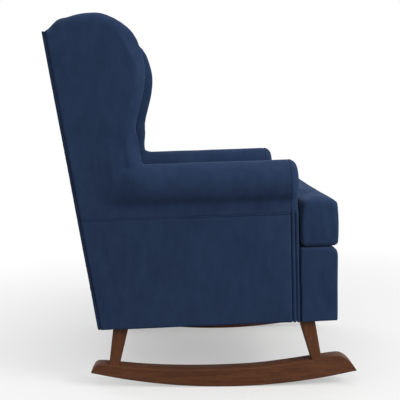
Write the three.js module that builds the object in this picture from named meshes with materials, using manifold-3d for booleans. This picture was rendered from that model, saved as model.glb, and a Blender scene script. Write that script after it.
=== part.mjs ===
// Wingback nursery rocking chair in millimetres: +Z up, the seat faces -Y, the sitter's right is -X.
import * as THREE from 'three';
import Module from 'manifold-3d';

const wasm = await Module();
wasm.setup();

// Shared clearances
const GAP = 0.3;
const CUT_OVERRUN = 8;

// Least share of a corner's turn that an inset follows
const MITRE_share = 0.5;

// The upholstered body, in its own frame: depth from its middle, height from its underside
const BODY_DEPTH = 660;
const BODY_HALF_WIDTH = 320;
const BODY_RISE = 179;
const BODY_TILT_DEGREES = 1.9;
const BODY_SETBACK = 18;
const BACK_RAKE_DEGREES = 7.6;
const BACK_PANEL_HEIGHT = 804;
const BACK_PANEL_THICK = 9;
const BACK_PANEL_INSET = 2;
const BACK_PANEL_ROUND = 3;
const SIDE_PANEL_THICK = 12;
const SIDE_PANEL_ROUND = 5;

// Arms
const ARM_TOP = 447;
const SEAM_DROP = 145;
const ARM_PAD_THICK = 20;
const ROLL_RADIUS = 58;
const ROLL_BULGE = 30;
const ROLL_UNDER_DEGREES = -50;
const ROLL_STEP_DEGREES = 11.5;
const ROLL_FADE_SETBACK = 6;
const ROLL_FADE_LENGTH = 165;
const ROLL_FADE_STEPS = 6;
const ROLL_FADED_share = 0.02;
const UNDER_ROLL_STEPS = 4;
const SHOULDER_SETBACK = 58;
const SHOULDER_SWELL = 36;
const SHOULDER_RISE = 93;
const SHOULDER_STEPS = 6;
const SHOULDER_ROWS = 8;
const SHOULDER_TUCK = 0.5;
const SHOULDER_ROOT = 7;

// Arm facings: the edge has two round lips with a groove between them
const FACING_THICK = 25;
const FACING_LIP_GROOVE = 3.4;
const FACING_PILLOW_share = 0.79;
const FACING_FLAT_share = 0.3;
const FACING_EDGE_shares = [[0, 1], [0.07, 0.25], [0.26, 0], [0.44, 0.25], [0.5, 1], [0.56, 0.25], [0.7, 0]];
const FACING_PILLOW_shares = [[0.86, 0.16], [0.93, 0.4], [0.98, 0.7], [1, 1]];

// Wings
const WING_THICK = 54;
const WING_RISE = 46;
const WING_REACH = 31;
const WING_ROUND = 25;
const WING_ROUND_STEPS = 4;
const WING_EDGE_STEPS = 30;
const CREST_STEPS = 5;
const WING_EDGE_shares = [
  [0.057, 0], [0.09, 0.13], [0.124, 0.243], [0.075, 0.37], [0.025, 0.49], [0.002, 0.603], [0.02, 0.7],
  [0.097, 0.843], [0.22, 0.93], [0.4, 0.99], [0.53, 1], [0.66, 0.993], [0.786, 0.973],
];

// The crest behind the wing, as shares of the depth and of the wing's rise over the back panel
const CREST_EDGE_shares = [[0.865, 0.315], [0.94, 0.648], [1, 0.98]];

// Inside back
const BACK_FACE_SETBACK = 153;
const BACK_FACE_EXTRA_RAKE_DEGREES = 1.7;
const BACK_CREST_DROP = 78;
const BACK_FACE_STEPS = 6;
const BACK_CROWN = 16;
const BACK_EDGE_ROUND = 12;
const BACK_CREST_share = 0.81;
const BACK_STATION_shares = [0, 0.35, 0.65, 0.85, 0.955, 1];
const BACK_SOFTENING_shares = [0, 0, 0, 0, 0.25, 1];
const BACK_CREST_STEPS = 5;

// Seat: deck, front border and the loose cushion
const DECK_THICK = 23.4;
const BORDER_DROP = 2;
const BORDER_PROUD = 2;
const BORDER_LENGTH = 102.8;
const BORDER_ROUND = 23;
const BORDER_ROUND_STEPS = 4;
const BORDER_END_ROUND = 7;
const BORDER_FRONT_PAD = 31;
const BORDER_SIDE_PAD = 12;
const BORDER_TUCK = 3;
const CUSHION_THICK = 112;
const CUSHION_CROWN = 20;
const CUSHION_CROWN_REACH = 120;
const CUSHION_BELLY = 4;
const CUSHION_EDGE_ROUND = 18;
const CUSHION_CORNER_ROUND = 16;
const CUSHION_SIDE_CLEARANCE = 2;
const CUSHION_FACING_CLEARANCE = 2.4;
const CUSHION_FRONT_SETBACK = 1;
const CUSHION_BACK_CLEARANCE = 11;
const CUSHION_LEAN_LENGTH = 104;
const CUSHION_EDGE_shares = [0, 0.17, 0.5, 1];
const CUSHION_MIDDLE_shares = [0, 0.38, 0.75];
const CUSHION_STEM_shares = [0.15, 0.4, 0.65];
const CUSHION_SIDE_shares = [0.33, 0.67];

// Frame
const FRAME_BASE = 6;
const SIDE_RAIL_WIDTH = 55;
const SIDE_RAIL_HEIGHT = 40;
const BOARD_THICK = 25;
const SEAT_RAIL_TOP = 182;
const BACK_RAIL_SETBACK = 45;
const ARM_POST_DEPTH = 40;
const ARM_RAIL_DROP = 51;
const ARM_RAIL_THICK = 24;
const BACK_POST_WIDTH = 27;
const BACK_POST_DEPTH = 60;
const BACK_POST_DROP = 20;
const CREST_RAIL_HEIGHT = 66;
const LUMBAR_RAIL_BASE = 230;
const LUMBAR_RAIL_HEIGHT = 60;
const WING_BOARD_THICK = 18;
const WING_BOARD_COVER = 17;
const WING_BOARD_SETBACK = 30;
const CORNER_BLOCK_LEG = 60;
const BOX_SIDE_THICK = 16;

// Webbing and dust cover
const STRAP_WIDTH = 50;
const STRAP_THICK = 2;
const SEAT_STRAP_COUNT = 5;
const SEAT_STRAP_PITCH = 88;
const BACK_STRAP_COUNT = 4;
const BACK_STRAP_CLEARANCE = 14;
const DUST_COVER_THICK = 1.5;
const DUST_COVER_OVERLAP = 3;

// Legs
const LEG_TOP_WIDTH = 42;
const LEG_FOOT_WIDTH = 28;
const LEG_CHAMFER = 3;
const LEG_INSET = 16;
const LEG_LENGTH = 118;
const LEG_SPLAY_DEGREES = 12;
const REAR_LEG_SETBACK = 62;
const FRONT_LEG_SETBACK = 85;
const LEG_PLATE_SIDE = 49;
const LEG_PLATE_THICK = 2.5;
const HANGER_BOLT_RADIUS = 4;
const HANGER_BOLT_DOWN = 26;
const HANGER_BOLT_UP = 32;

// Rockers: the profile runs from the front tip, share -1, to the rear tip, share 1
const ROCKER_RADIUS = 1620;
const ROCKER_REACH = 39;
const ROCKER_THICK = 46;
const ROCKER_OUTSET = 2;
const ROCKER_HEIGHT = 53.5;
const ROCKER_CHAMFER = 2;
const ROCKER_FACETS = 31;
const ROCKER_TOP_STEPS = 34;
const ROCKER_TOP_shares = [
  [-1, 0.02], [-0.95, 0.5], [-0.905, 0.78], [-0.855, 0.925], [-0.72, 1], [-0.5, 0.975], [-0.25, 0.93],
  [0, 0.91], [0.3, 0.83], [0.6, 0.73], [0.84, 0.545], [0.925, 0.43], [0.97, 0.28], [1, 0.02],
];
const ROCKER_SCREW_RADIUS = 3;
const ROCKER_SCREW_HEAD = 6;
const ROCKER_SCREW_HEAD_HEIGHT = 4;
const ROCKER_SCREW_SINK = 9;
const ROCKER_SCREW_BITE = 26;
const ROUND_SIDES = 16;

// Places that follow from the sizes above
const ROCKER_HALF_LENGTH = BODY_DEPTH / 2 + ROCKER_REACH;
const BORDER_FRONT = BODY_DEPTH / 2 + BORDER_PROUD;
const LEGS = [
  { name: 'rear', place: BODY_DEPTH / 2 - REAR_LEG_SETBACK, lean: 1 },
  { name: 'front', place: FRONT_LEG_SETBACK - BORDER_FRONT, lean: -1 },
];
const TILT = THREE.MathUtils.degToRad(BODY_TILT_DEGREES);
const RAKE_SLOPE = Math.tan(THREE.MathUtils.degToRad(BACK_RAKE_DEGREES));
const FACE_SLOPE = Math.tan(THREE.MathUtils.degToRad(BACK_RAKE_DEGREES + BACK_FACE_EXTRA_RAKE_DEGREES));
const SPLAY_SLOPE = Math.tan(THREE.MathUtils.degToRad(LEG_SPLAY_DEGREES));
const ROLL_CENTRE_X = BODY_HALF_WIDTH + ROLL_BULGE - ROLL_RADIUS;
const ROLL_CENTRE_HEIGHT = ARM_TOP - ROLL_RADIUS;
const SEAM_HEIGHT = ARM_TOP - SEAM_DROP;
const SHOULDER_TOP = ARM_TOP + SHOULDER_RISE;
const ARM_INNER = ROLL_CENTRE_X - ROLL_RADIUS;
const HOLLOW_INNER = ARM_INNER + ARM_PAD_THICK;
const HOLLOW_OUTER = BODY_HALF_WIDTH - SIDE_PANEL_THICK;
const FRAME_OUTER = HOLLOW_OUTER - GAP;
const SIDE_RAIL_INNER = FRAME_OUTER - SIDE_RAIL_WIDTH;
const SIDE_RAIL_TOP = FRAME_BASE + SIDE_RAIL_HEIGHT;
const FACING_FRONT = BORDER_FRONT - BORDER_LENGTH;
const FACING_BACK = FACING_FRONT - FACING_THICK;
const ARM_FRONT = GAP - FACING_BACK;
const BORDER_BACK = FACING_FRONT + GAP;
const STRAP_TOP = SEAT_RAIL_TOP + GAP + STRAP_THICK;
const DECK_BASE = STRAP_TOP + GAP;
const DECK_TOP = DECK_BASE + DECK_THICK;
const BORDER_TOP = DECK_TOP - BORDER_DROP;
const FRONT_RAIL_FACE = BORDER_FRONT - BORDER_FRONT_PAD - GAP;
const FRONT_RAIL_BACK = FRONT_RAIL_FACE - BOARD_THICK;
const BACK_RAIL_BACK = BODY_DEPTH / 2 - BACK_RAIL_SETBACK;
const BACK_RAIL_FRONT = BACK_RAIL_BACK - BOARD_THICK;
const BACK_POST_TOP = BACK_PANEL_HEIGHT - BACK_POST_DROP;
const BACK_FACE_FOOT = BODY_DEPTH / 2 + RAKE_SLOPE * DECK_TOP - BACK_FACE_SETBACK;
const CUSHION_BACK = BACK_FACE_FOOT - CUSHION_BACK_CLEARANCE;
const WING_TOP = BACK_PANEL_HEIGHT + WING_RISE;
const WING_FRONT = BACK_FACE_FOOT - WING_REACH;
const BACK_FACE_TOP = WING_TOP - BACK_CREST_DROP;
const ROLL_FADE_START = WING_FRONT + ROLL_FADE_SETBACK;
const ROLL_FADE_END = ROLL_FADE_START + ROLL_FADE_LENGTH;
const SHOULDER_START = WING_FRONT + SHOULDER_SETBACK;
const WING_INNER = BODY_HALF_WIDTH - WING_THICK;
const WING_BOARD_OUTER = BODY_HALF_WIDTH - WING_BOARD_COVER;
const WING_BOARD_INNER = WING_BOARD_OUTER - WING_BOARD_THICK;
const BACK_POST_OUTER = WING_BOARD_INNER - GAP;
const BACK_POST_INNER = BACK_POST_OUTER - BACK_POST_WIDTH;
const ARM_RAIL_TOP = ARM_TOP - ARM_RAIL_DROP;
const ARM_RAIL_BASE = ARM_RAIL_TOP - ARM_RAIL_THICK;
const LEG_OUTER = BODY_HALF_WIDTH - LEG_INSET;
const ROCKER_OUTER = LEG_OUTER + ROCKER_OUTSET;

// Finishes
const velvet = new THREE.MeshStandardMaterial({ color: 0x2a3c63, roughness: 0.92, metalness: 0 });
const walnut = new THREE.MeshStandardMaterial({ color: 0x6a402c, roughness: 0.5, metalness: 0 });
const pine = new THREE.MeshStandardMaterial({ color: 0xc8a675, roughness: 0.75, metalness: 0 });
const webbing = new THREE.MeshStandardMaterial({ color: 0x3a3431, roughness: 0.9, metalness: 0 });
const lining = new THREE.MeshStandardMaterial({ color: 0x17181b, roughness: 0.95, metalness: 0 });
const steel = new THREE.MeshStandardMaterial({ color: 0x9a9c9f, roughness: 0.4, metalness: 1 });

const group = new THREE.Group();
const body = new THREE.Group();
body.rotation.x = -TILT;
body.position.set(0, BODY_SETBACK, BODY_RISE);
body.updateMatrix();
group.add(body);

// Depth of the raked outside back at a height of the body
function rearFace(height) {
  return BODY_DEPTH / 2 + RAKE_SLOPE * height;
}

// Depth of what lies just in front of the outside back panel
function rearInside(height) {
  return rearFace(height) - BACK_PANEL_THICK - GAP;
}

function postFront(height) {
  return rearInside(height) - BACK_POST_DEPTH;
}

function backFace(height) {
  return BACK_FACE_FOOT + FACE_SLOPE * (height - DECK_TOP);
}

// Height of the rockers' underside above the floor
function rockerUnderside(along) {
  return ROCKER_RADIUS - Math.sqrt(ROCKER_RADIUS ** 2 - along ** 2);
}

function points(pairs) {
  return pairs.map(([across, up]) => new THREE.Vector2(across, up));
}

// Closed solid from points and faces, turned so that its faces look outwards
function solidFrom(corners, faces) {
  let volume = 0;
  for (const [a, b, c] of faces) {
    volume += corners[a].dot(corners[b].clone().cross(corners[c]));
  }
  const turned = volume < 0 ? faces.map(([a, b, c]) => [a, c, b]) : faces;
  const geometry = new THREE.BufferGeometry();
  const numbers = corners.flatMap((corner) => corner.toArray());
  geometry.setAttribute('position', new THREE.Float32BufferAttribute(numbers, 3));
  geometry.setIndex(turned.flat());
  geometry.computeVertexNormals();
  return geometry;
}

// Puts the ring's points that its triangles leave out, which lie on straight sides, back into them
function withEveryPoint(faces, count) {
  const used = new Set(faces.flat());
  return [...used].reduce((all, from) => {
    const run = [from];
    do {
      run.push((run.at(-1) + 1) % count);
    } while (!used.has(run.at(-1)));
    const to = run.at(-1);
    const after = (face) => face[(face.indexOf(from) + 1) % face.length];
    const side = all.find((face) => face.includes(from) && after(face) === to);
    if (run.length === 2 || !side) {
      return all;
    }
    const tip = side.find((corner) => corner !== from && corner !== to);
    const fan = run.slice(1).map((next, step) => [run[step], next, tip]);
    return [...all.filter((face) => face !== side), ...fan];
  }, faces);
}

// Triangles of a flat ring, turned the way that the ring runs
function capFaces(ring) {
  const faces = THREE.ShapeUtils.triangulateShape(ring, []);
  const areas = faces.map((face) => THREE.ShapeUtils.area(face.map((corner) => ring[corner])));
  const total = areas.reduce((sum, area) => sum + area, 0);
  const sameTurn = total * THREE.ShapeUtils.area(ring) > 0;
  const turned = sameTurn ? faces : faces.map(([a, b, c]) => [a, c, b]);
  return withEveryPoint(turned, ring.length);
}

// Solid from rings of equal point counts; flatten lays an end ring in a plane for its cap
function ringSolid(rings, flatten) {
  const count = rings[0].length;
  const faces = [];
  for (let row = 1; row < rings.length; row += 1) {
    for (let place = 0; place < count; place += 1) {
      const next = (place + 1) % count;
      const low = (row - 1) * count;
      const high = row * count;
      faces.push([low + place, low + next, high + next], [low + place, high + next, high + place]);
    }
  }
  const last = (rings.length - 1) * count;
  for (const [a, b, c] of capFaces(rings[0].map(flatten))) {
    faces.push([a, c, b]);
  }
  for (const [a, b, c] of capFaces(rings.at(-1).map(flatten))) {
    faces.push([last + a, last + b, last + c]);
  }
  return solidFrom(rings.flat(), faces);
}

// Outline drawn in by a distance times each point's share
function insetOutline(outline, distance, shares) {
  const turn = THREE.ShapeUtils.isClockWise(outline) ? -1 : 1;
  const inward = (from, to) => {
    const along = to.clone().sub(from).normalize();
    return new THREE.Vector2(-along.y, along.x).multiplyScalar(turn);
  };
  return outline.map((point, place) => {
    const before = outline.at(place - 1);
    const after = outline[(place + 1) % outline.length];
    const first = inward(before, point);
    const second = inward(point, after);
    const middle = first.clone().add(second);
    const reach = (distance * shares[place]) / Math.max(middle.dot(first), MITRE_share);
    return point.clone().addScaledVector(middle, reach);
  });
}

// Rows of an edge rounded on both faces, as heights through the thickness with their insets
function roundedRows(thickness, radius, steps) {
  const round = Math.min(radius, thickness / 2);
  const rows = [];
  for (let step = 0; step <= steps; step += 1) {
    const angle = (Math.PI / 2) * (step / steps);
    rows.push([round * (1 - Math.cos(angle)), round * (1 - Math.sin(angle))]);
  }
  const far = rows.map(([height, inset]) => [thickness - height, inset]).reverse();
  return [...rows, ...far];
}

// Slab across the chair: the outline holds depth and height, the rows run along X
function sideSlab(outline, start, rows, shares = outline.map(() => 1)) {
  const rings = rows.map(([height, inset]) => {
    const ring = insetOutline(outline, inset, shares);
    return ring.map((point) => new THREE.Vector3(start + height, point.x, point.y));
  });
  return ringSolid(rings, (corner) => new THREE.Vector2(corner.y, corner.z));
}

// Plain board across the chair between two places along X
function sideBoard(outline, from, to) {
  return sideSlab(outline, from, [[0, 0], [to - from, 0]]);
}

// Prism standing between two heights; the outline holds X and depth
function uprightPrism(outline, from, to) {
  const ring = (height) => outline.map((point) => new THREE.Vector3(point.x, point.y, height));
  return ringSolid([ring(from), ring(to)], (corner) => new THREE.Vector2(corner.x, corner.y));
}

function box(fromX, toX, fromDepth, toDepth, fromHeight, toHeight) {
  const outline = points([[fromX, fromDepth], [toX, fromDepth], [toX, toDepth], [fromX, toDepth]]);
  return uprightPrism(outline, fromHeight, toHeight);
}

// Upright cylinder between two heights
function rod(radius, x, depth, fromHeight, toHeight) {
  const circle = new THREE.EllipseCurve(x, depth, radius, radius);
  return uprightPrism(circle.getPoints(ROUND_SIDES).slice(1), fromHeight, toHeight);
}

function toManifold(geometry) {
  const vertProperties = new Float32Array(geometry.attributes.position.array);
  const triVerts = new Uint32Array(geometry.index.array);
  return new wasm.Manifold(new wasm.Mesh({ numProp: 3, vertProperties, triVerts }));
}

function fromManifold(solid) {
  const mesh = solid.getMesh();
  const geometry = new THREE.BufferGeometry();
  geometry.setAttribute('position', new THREE.BufferAttribute(mesh.vertProperties, 3));
  geometry.setIndex(new THREE.BufferAttribute(mesh.triVerts, 1));
  geometry.computeVertexNormals();
  return geometry;
}

function cut(geometry, ...tools) {
  let solid = toManifold(geometry);
  for (const tool of tools) {
    solid = solid.subtract(toManifold(tool));
  }
  return fromManifold(solid);
}

function join(geometry, ...others) {
  let solid = toManifold(geometry);
  for (const other of others) {
    solid = solid.add(toManifold(other));
  }
  return fromManifold(solid);
}

// The same piece on the sitter's right
function mirrored(geometry) {
  const copy = geometry.clone().applyMatrix4(new THREE.Matrix4().makeScale(-1, 1, 1));
  const flat = copy.index.array;
  for (let place = 0; place < flat.length; place += 3) {
    [flat[place], flat[place + 1]] = [flat[place + 1], flat[place]];
  }
  copy.computeVertexNormals();
  return copy;
}

function addPiece(parent, name, geometry, material) {
  const mesh = new THREE.Mesh(geometry, material);
  mesh.name = name;
  parent.add(mesh);
}

// A piece made for the sitter's left and its mirror image
function addPair(parent, name, geometry, material) {
  addPiece(parent, `${name}_left`, geometry, material);
  addPiece(parent, `${name}_right`, mirrored(geometry), material);
}

// Points of the wing's front and top edge, then of the crest behind it
function wingEdge() {
  const rearTop = rearInside(BACK_PANEL_HEIGHT);
  const place = ([back, up]) => new THREE.Vector2(
    THREE.MathUtils.lerp(WING_FRONT, rearTop, back),
    THREE.MathUtils.lerp(ARM_TOP, WING_TOP, up),
  );
  const edge = new THREE.SplineCurve(WING_EDGE_shares.map(place));
  const behind = CREST_EDGE_shares.map(([back, down]) => new THREE.Vector2(
    THREE.MathUtils.lerp(WING_FRONT, rearTop, back),
    WING_TOP - WING_RISE * down,
  ));
  const crest = new THREE.SplineCurve([edge.points.at(-1), ...behind]);
  return [...edge.getPoints(WING_EDGE_STEPS), ...crest.getPoints(CREST_STEPS).slice(1)];
}

// Whole side outline of the wing down to a height, front foot first
function wingOutline(base) {
  const edge = wingEdge();
  return [new THREE.Vector2(edge[0].x, base), ...edge, new THREE.Vector2(rearInside(base), base)];
}

function wingSlab() {
  const outline = wingOutline(SEAM_HEIGHT);
  const shares = outline.map((point, place) => (place > outline.length - 3 ? 0 : 1));
  const rows = roundedRows(WING_THICK, WING_ROUND, WING_ROUND_STEPS);
  return sideSlab(outline, WING_INNER, rows, shares);
}

// Outer line of an arm's section, from the top of its inner face round the roll to the seam
function rollLine(bulge) {
  const line = [];
  const end = THREE.MathUtils.degToRad(ROLL_UNDER_DEGREES);
  const step = THREE.MathUtils.degToRad(ROLL_STEP_DEGREES);
  const steps = Math.round((Math.PI - end) / step);
  for (let turn = 0; turn <= steps; turn += 1) {
    const angle = THREE.MathUtils.lerp(Math.PI, end, turn / steps);
    const across = ROLL_CENTRE_X + ROLL_RADIUS * Math.cos(angle);
    line.push(new THREE.Vector2(across, ROLL_CENTRE_HEIGHT + ROLL_RADIUS * Math.sin(angle)));
  }
  const under = line.at(-1);
  const elbow = new THREE.Vector2(BODY_HALF_WIDTH, under.y - (under.x - BODY_HALF_WIDTH) / Math.tan(-end));
  const seam = new THREE.Vector2(BODY_HALF_WIDTH, SEAM_HEIGHT);
  line.push(...new THREE.QuadraticBezierCurve(under, elbow, seam).getPoints(UNDER_ROLL_STEPS).slice(1));
  return line.map((point) => {
    const beyond = Math.max(point.x - BODY_HALF_WIDTH, 0);
    return new THREE.Vector2(point.x - beyond * (1 - bulge), point.y);
  });
}

function armSection(bulge) {
  return [
    new THREE.Vector2(ARM_INNER, DECK_BASE),
    ...rollLine(bulge),
    new THREE.Vector2(HOLLOW_INNER, SEAM_HEIGHT),
    new THREE.Vector2(HOLLOW_INNER, DECK_BASE),
  ];
}

// Share of the roll's bulge that is left at a depth
function rollFade(depth) {
  const fade = 1 - THREE.MathUtils.smoothstep(depth, ROLL_FADE_START, ROLL_FADE_END);
  return Math.max(fade, ROLL_FADED_share);
}

// Arm whose outward roll dies away towards the back
function armLoft() {
  const stations = [[ARM_FRONT, 1]];
  for (let step = 0; step <= ROLL_FADE_STEPS; step += 1) {
    const depth = THREE.MathUtils.lerp(ROLL_FADE_START, ROLL_FADE_END, step / ROLL_FADE_STEPS);
    stations.push([depth, rollFade(depth)]);
  }
  const rings = stations.map(([depth, bulge]) => {
    return armSection(bulge).map((point) => new THREE.Vector3(point.x, depth, point.y));
  });
  return ringSolid(rings, (corner) => new THREE.Vector2(corner.x, corner.z));
}

// Padding that leads the wing's outer face down into the roll
function shoulder() {
  const root = BODY_HALF_WIDTH - SHOULDER_ROOT;
  const rings = [];
  for (let step = 0; step <= SHOULDER_STEPS; step += 1) {
    const depth = THREE.MathUtils.lerp(SHOULDER_START, ROLL_FADE_END, step / SHOULDER_STEPS);
    const rise = THREE.MathUtils.smoothstep(depth, SHOULDER_START, SHOULDER_START + SHOULDER_SWELL);
    const bulge = ROLL_BULGE * rollFade(depth) * rise;
    const ring = [new THREE.Vector3(root, depth, ROLL_CENTRE_HEIGHT)];
    for (let row = 0; row <= SHOULDER_ROWS; row += 1) {
      const height = THREE.MathUtils.lerp(ROLL_CENTRE_HEIGHT, SHOULDER_TOP, row / SHOULDER_ROWS);
      const fade = 1 - THREE.MathUtils.smoothstep(height, ROLL_CENTRE_HEIGHT, SHOULDER_TOP);
      ring.push(new THREE.Vector3(BODY_HALF_WIDTH - SHOULDER_TUCK + bulge * fade, depth, height));
    }
    ring.push(new THREE.Vector3(root, depth, SHOULDER_TOP));
    rings.push(ring);
  }
  return ringSolid(rings, (corner) => new THREE.Vector2(corner.x, corner.z));
}

// Outline of the board inside a wing, which stands on the arm rail
function wingBoardOutline(grow) {
  const outline = wingOutline(ARM_RAIL_TOP + GAP);
  const shares = outline.map((point, place) => (place === 0 || place > outline.length - 3 ? 0 : 1));
  const board = insetOutline(outline, WING_BOARD_SETBACK - grow, shares);
  const rearTop = BACK_PANEL_HEIGHT - WING_BOARD_SETBACK + grow;
  board[0].x = board[1].x;
  board.at(-2).set(rearInside(rearTop), rearTop);
  return board;
}

// Slot for the wing board, open at the back and below
function wingBoardSlot() {
  const outline = wingBoardOutline(GAP);
  outline[0].y -= CUT_OVERRUN;
  outline.at(-1).y -= CUT_OVERRUN;
  outline.at(-1).x += CUT_OVERRUN;
  outline.at(-2).x += CUT_OVERRUN;
  return sideBoard(outline, WING_BOARD_INNER - GAP, WING_BOARD_OUTER + GAP);
}

// Depth of the inside back's rear face, which lies on the back straps
function strapFront(height) {
  return postFront(height) - STRAP_THICK - GAP - GAP;
}

// Room behind the inside back for the posts and webbing
function postRoom() {
  const base = DECK_BASE - CUT_OVERRUN;
  const outline = points([
    [strapFront(base), base],
    [rearFace(base) + CUT_OVERRUN, base],
    [rearFace(BACK_POST_TOP) + CUT_OVERRUN, BACK_POST_TOP + GAP],
    [strapFront(BACK_POST_TOP), BACK_POST_TOP + GAP],
  ]);
  return sideBoard(outline, ARM_INNER - CUT_OVERRUN, WING_BOARD_INNER);
}

function wingAndArm() {
  const whole = join(armLoft(), wingSlab(), shoulder());
  const hollow = box(
    HOLLOW_INNER, HOLLOW_OUTER, ARM_FRONT - CUT_OVERRUN, rearFace(WING_TOP),
    DECK_BASE - CUT_OVERRUN, ARM_RAIL_TOP + GAP,
  );
  return cut(whole, hollow, wingBoardSlot(), postRoom());
}

function facingOutline() {
  return [
    new THREE.Vector2(ARM_INNER, 0),
    new THREE.Vector2(ARM_INNER, SEAM_HEIGHT),
    ...rollLine(1),
    new THREE.Vector2(BODY_HALF_WIDTH, 0),
  ];
}

// Padded panel on the front of an arm, pillowed where it closes the roll
function armFacing() {
  const outline = facingOutline();
  const level = outline.map(() => 1);
  const soft = outline.map((point) => {
    const share = THREE.MathUtils.smoothstep(point.y, SEAM_HEIGHT, ROLL_CENTRE_HEIGHT);
    return THREE.MathUtils.lerp(FACING_FLAT_share, 1, share);
  });
  const place = (through, ring) => ring.map((point) => {
    return new THREE.Vector3(point.x, -FACING_BACK - FACING_THICK * through, point.y);
  });
  const lips = FACING_EDGE_shares.map(([through, deep]) => {
    return place(through, insetOutline(outline, FACING_LIP_GROOVE * deep, level));
  });
  const pillow = FACING_PILLOW_shares.map(([through, deep]) => {
    return place(through, insetOutline(outline, ROLL_RADIUS * FACING_PILLOW_share * deep, soft));
  });
  const solid = ringSolid([...lips, ...pillow], (corner) => new THREE.Vector2(corner.x, corner.z));
  const railNotch = box(
    ARM_INNER - CUT_OVERRUN, HOLLOW_OUTER, -FACING_FRONT - CUT_OVERRUN, CUT_OVERRUN - FACING_BACK,
    -CUT_OVERRUN, SIDE_RAIL_TOP + GAP,
  );
  return cut(solid, railNotch);
}

function sidePanel() {
  const top = SEAM_HEIGHT - GAP;
  const outline = points([[ARM_FRONT, 0], [rearInside(0), 0], [rearInside(top), top], [ARM_FRONT, top]]);
  const rounded = roundedRows(SIDE_PANEL_THICK, SIDE_PANEL_ROUND, WING_ROUND_STEPS);
  const rows = [[0, 0], ...rounded.slice(-WING_ROUND_STEPS - 1)];
  return sideSlab(outline, HOLLOW_OUTER, rows, [1, 0, 0, 1]);
}

function outsideBack() {
  const half = BODY_HALF_WIDTH - BACK_PANEL_INSET;
  const outline = points([[-half, 0], [half, 0], [half, BACK_PANEL_HEIGHT], [-half, BACK_PANEL_HEIGHT]]);
  const rings = roundedRows(BACK_PANEL_THICK, BACK_PANEL_ROUND, WING_ROUND_STEPS).map(([height, inset]) => {
    return insetOutline(outline, inset, [1, 1, 1, 1]).map((point) => {
      return new THREE.Vector3(point.x, rearFace(point.y) - BACK_PANEL_THICK + height, point.y);
    });
  });
  return ringSolid(rings, (corner) => new THREE.Vector2(corner.x, corner.z));
}

// Side profile of the inside back: face, rounded crest, then the seat on the frame behind
function backProfile(crown, inset) {
  const foot = new THREE.Vector2(BACK_FACE_FOOT, DECK_TOP + GAP);
  const faceTop = new THREE.Vector2(backFace(BACK_FACE_TOP), BACK_FACE_TOP);
  const crest = wingEdge().slice(-CREST_STEPS - 1);
  const top = new THREE.Vector2(THREE.MathUtils.lerp(faceTop.x, crest[0].x, BACK_CREST_share), crest[0].y);
  const elbow = new THREE.Vector2(backFace(top.y), top.y);
  const face = [...new THREE.LineCurve(foot, faceTop).getPoints(BACK_FACE_STEPS)];
  face.push(...new THREE.QuadraticBezierCurve(faceTop, elbow, top).getPoints(BACK_CREST_STEPS).slice(1));
  const ledge = BACK_POST_TOP + GAP;
  const outline = [
    ...face,
    ...crest,
    new THREE.Vector2(rearInside(ledge), ledge),
    new THREE.Vector2(strapFront(ledge), ledge),
    new THREE.Vector2(strapFront(foot.y), foot.y),
  ];
  const shares = outline.map((point, place) => (place === 0 || place > outline.length - 4 ? 0 : 1));
  const soft = insetOutline(outline, inset, shares);
  soft[0].x += inset;
  return soft.map((point, place) => {
    const height = THREE.MathUtils.clamp((point.y - foot.y) / (ledge - foot.y), 0, 1);
    const bulge = place < face.length ? crown * Math.sin(Math.PI * height) : 0;
    return new THREE.Vector2(point.x - bulge, point.y);
  });
}

function insideBack() {
  const half = WING_INNER - GAP;
  const stations = BACK_STATION_shares.map((share, place) => [share, BACK_SOFTENING_shares[place]]);
  const lower = stations.slice(1).reverse().map(([share, soft]) => [-share, soft]);
  const rings = [...lower, ...stations].map(([share, soft]) => {
    const profile = backProfile(BACK_CROWN * (1 - share ** 2), BACK_EDGE_ROUND * soft);
    return profile.map((point) => new THREE.Vector3(half * share, point.x, point.y));
  });
  const solid = ringSolid(rings, (corner) => new THREE.Vector2(corner.y, corner.z));
  const besideArm = box(ARM_INNER - GAP, BODY_HALF_WIDTH, 0, BODY_DEPTH, 0, ARM_TOP + GAP);
  return cut(solid, besideArm, mirrored(besideArm));
}

// Front border: a rounded box over the front rail, hollow from behind and below
function frontBorder() {
  const corner = points([
    [-BORDER_FRONT, BORDER_TOP - BORDER_ROUND],
    [-BORDER_FRONT, BORDER_TOP],
    [BORDER_ROUND - BORDER_FRONT, BORDER_TOP],
  ]);
  const shoulder = new THREE.QuadraticBezierCurve(...corner).getPoints(BORDER_ROUND_STEPS);
  const outline = [
    new THREE.Vector2(-BORDER_BACK, 0),
    new THREE.Vector2(BORDER_TUCK - BORDER_FRONT, 0),
    ...shoulder,
    new THREE.Vector2(-BORDER_BACK, BORDER_TOP),
  ];
  const shares = outline.map((point, place) => (place === 0 || place === outline.length - 1 ? 0 : 1));
  const rows = roundedRows(2 * BODY_HALF_WIDTH, BORDER_END_ROUND, BORDER_ROUND_STEPS);
  const solid = sideSlab(outline, -BODY_HALF_WIDTH, rows, shares);
  const inner = BODY_HALF_WIDTH - BORDER_SIDE_PAD;
  const front = BORDER_FRONT_PAD - BORDER_FRONT;
  return cut(solid, box(-inner, inner, front, CUT_OVERRUN - BORDER_BACK, -CUT_OVERRUN, STRAP_TOP + GAP));
}

function deckPad() {
  const half = ARM_INNER - GAP;
  const outline = points([
    [GAP - FACING_FRONT, DECK_BASE],
    [postFront(DECK_BASE) - STRAP_THICK - GAP, DECK_BASE],
    [postFront(DECK_TOP) - STRAP_THICK - GAP, DECK_TOP],
    [GAP - FACING_FRONT, DECK_TOP],
  ]);
  return sideBoard(outline, -half, half);
}

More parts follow.
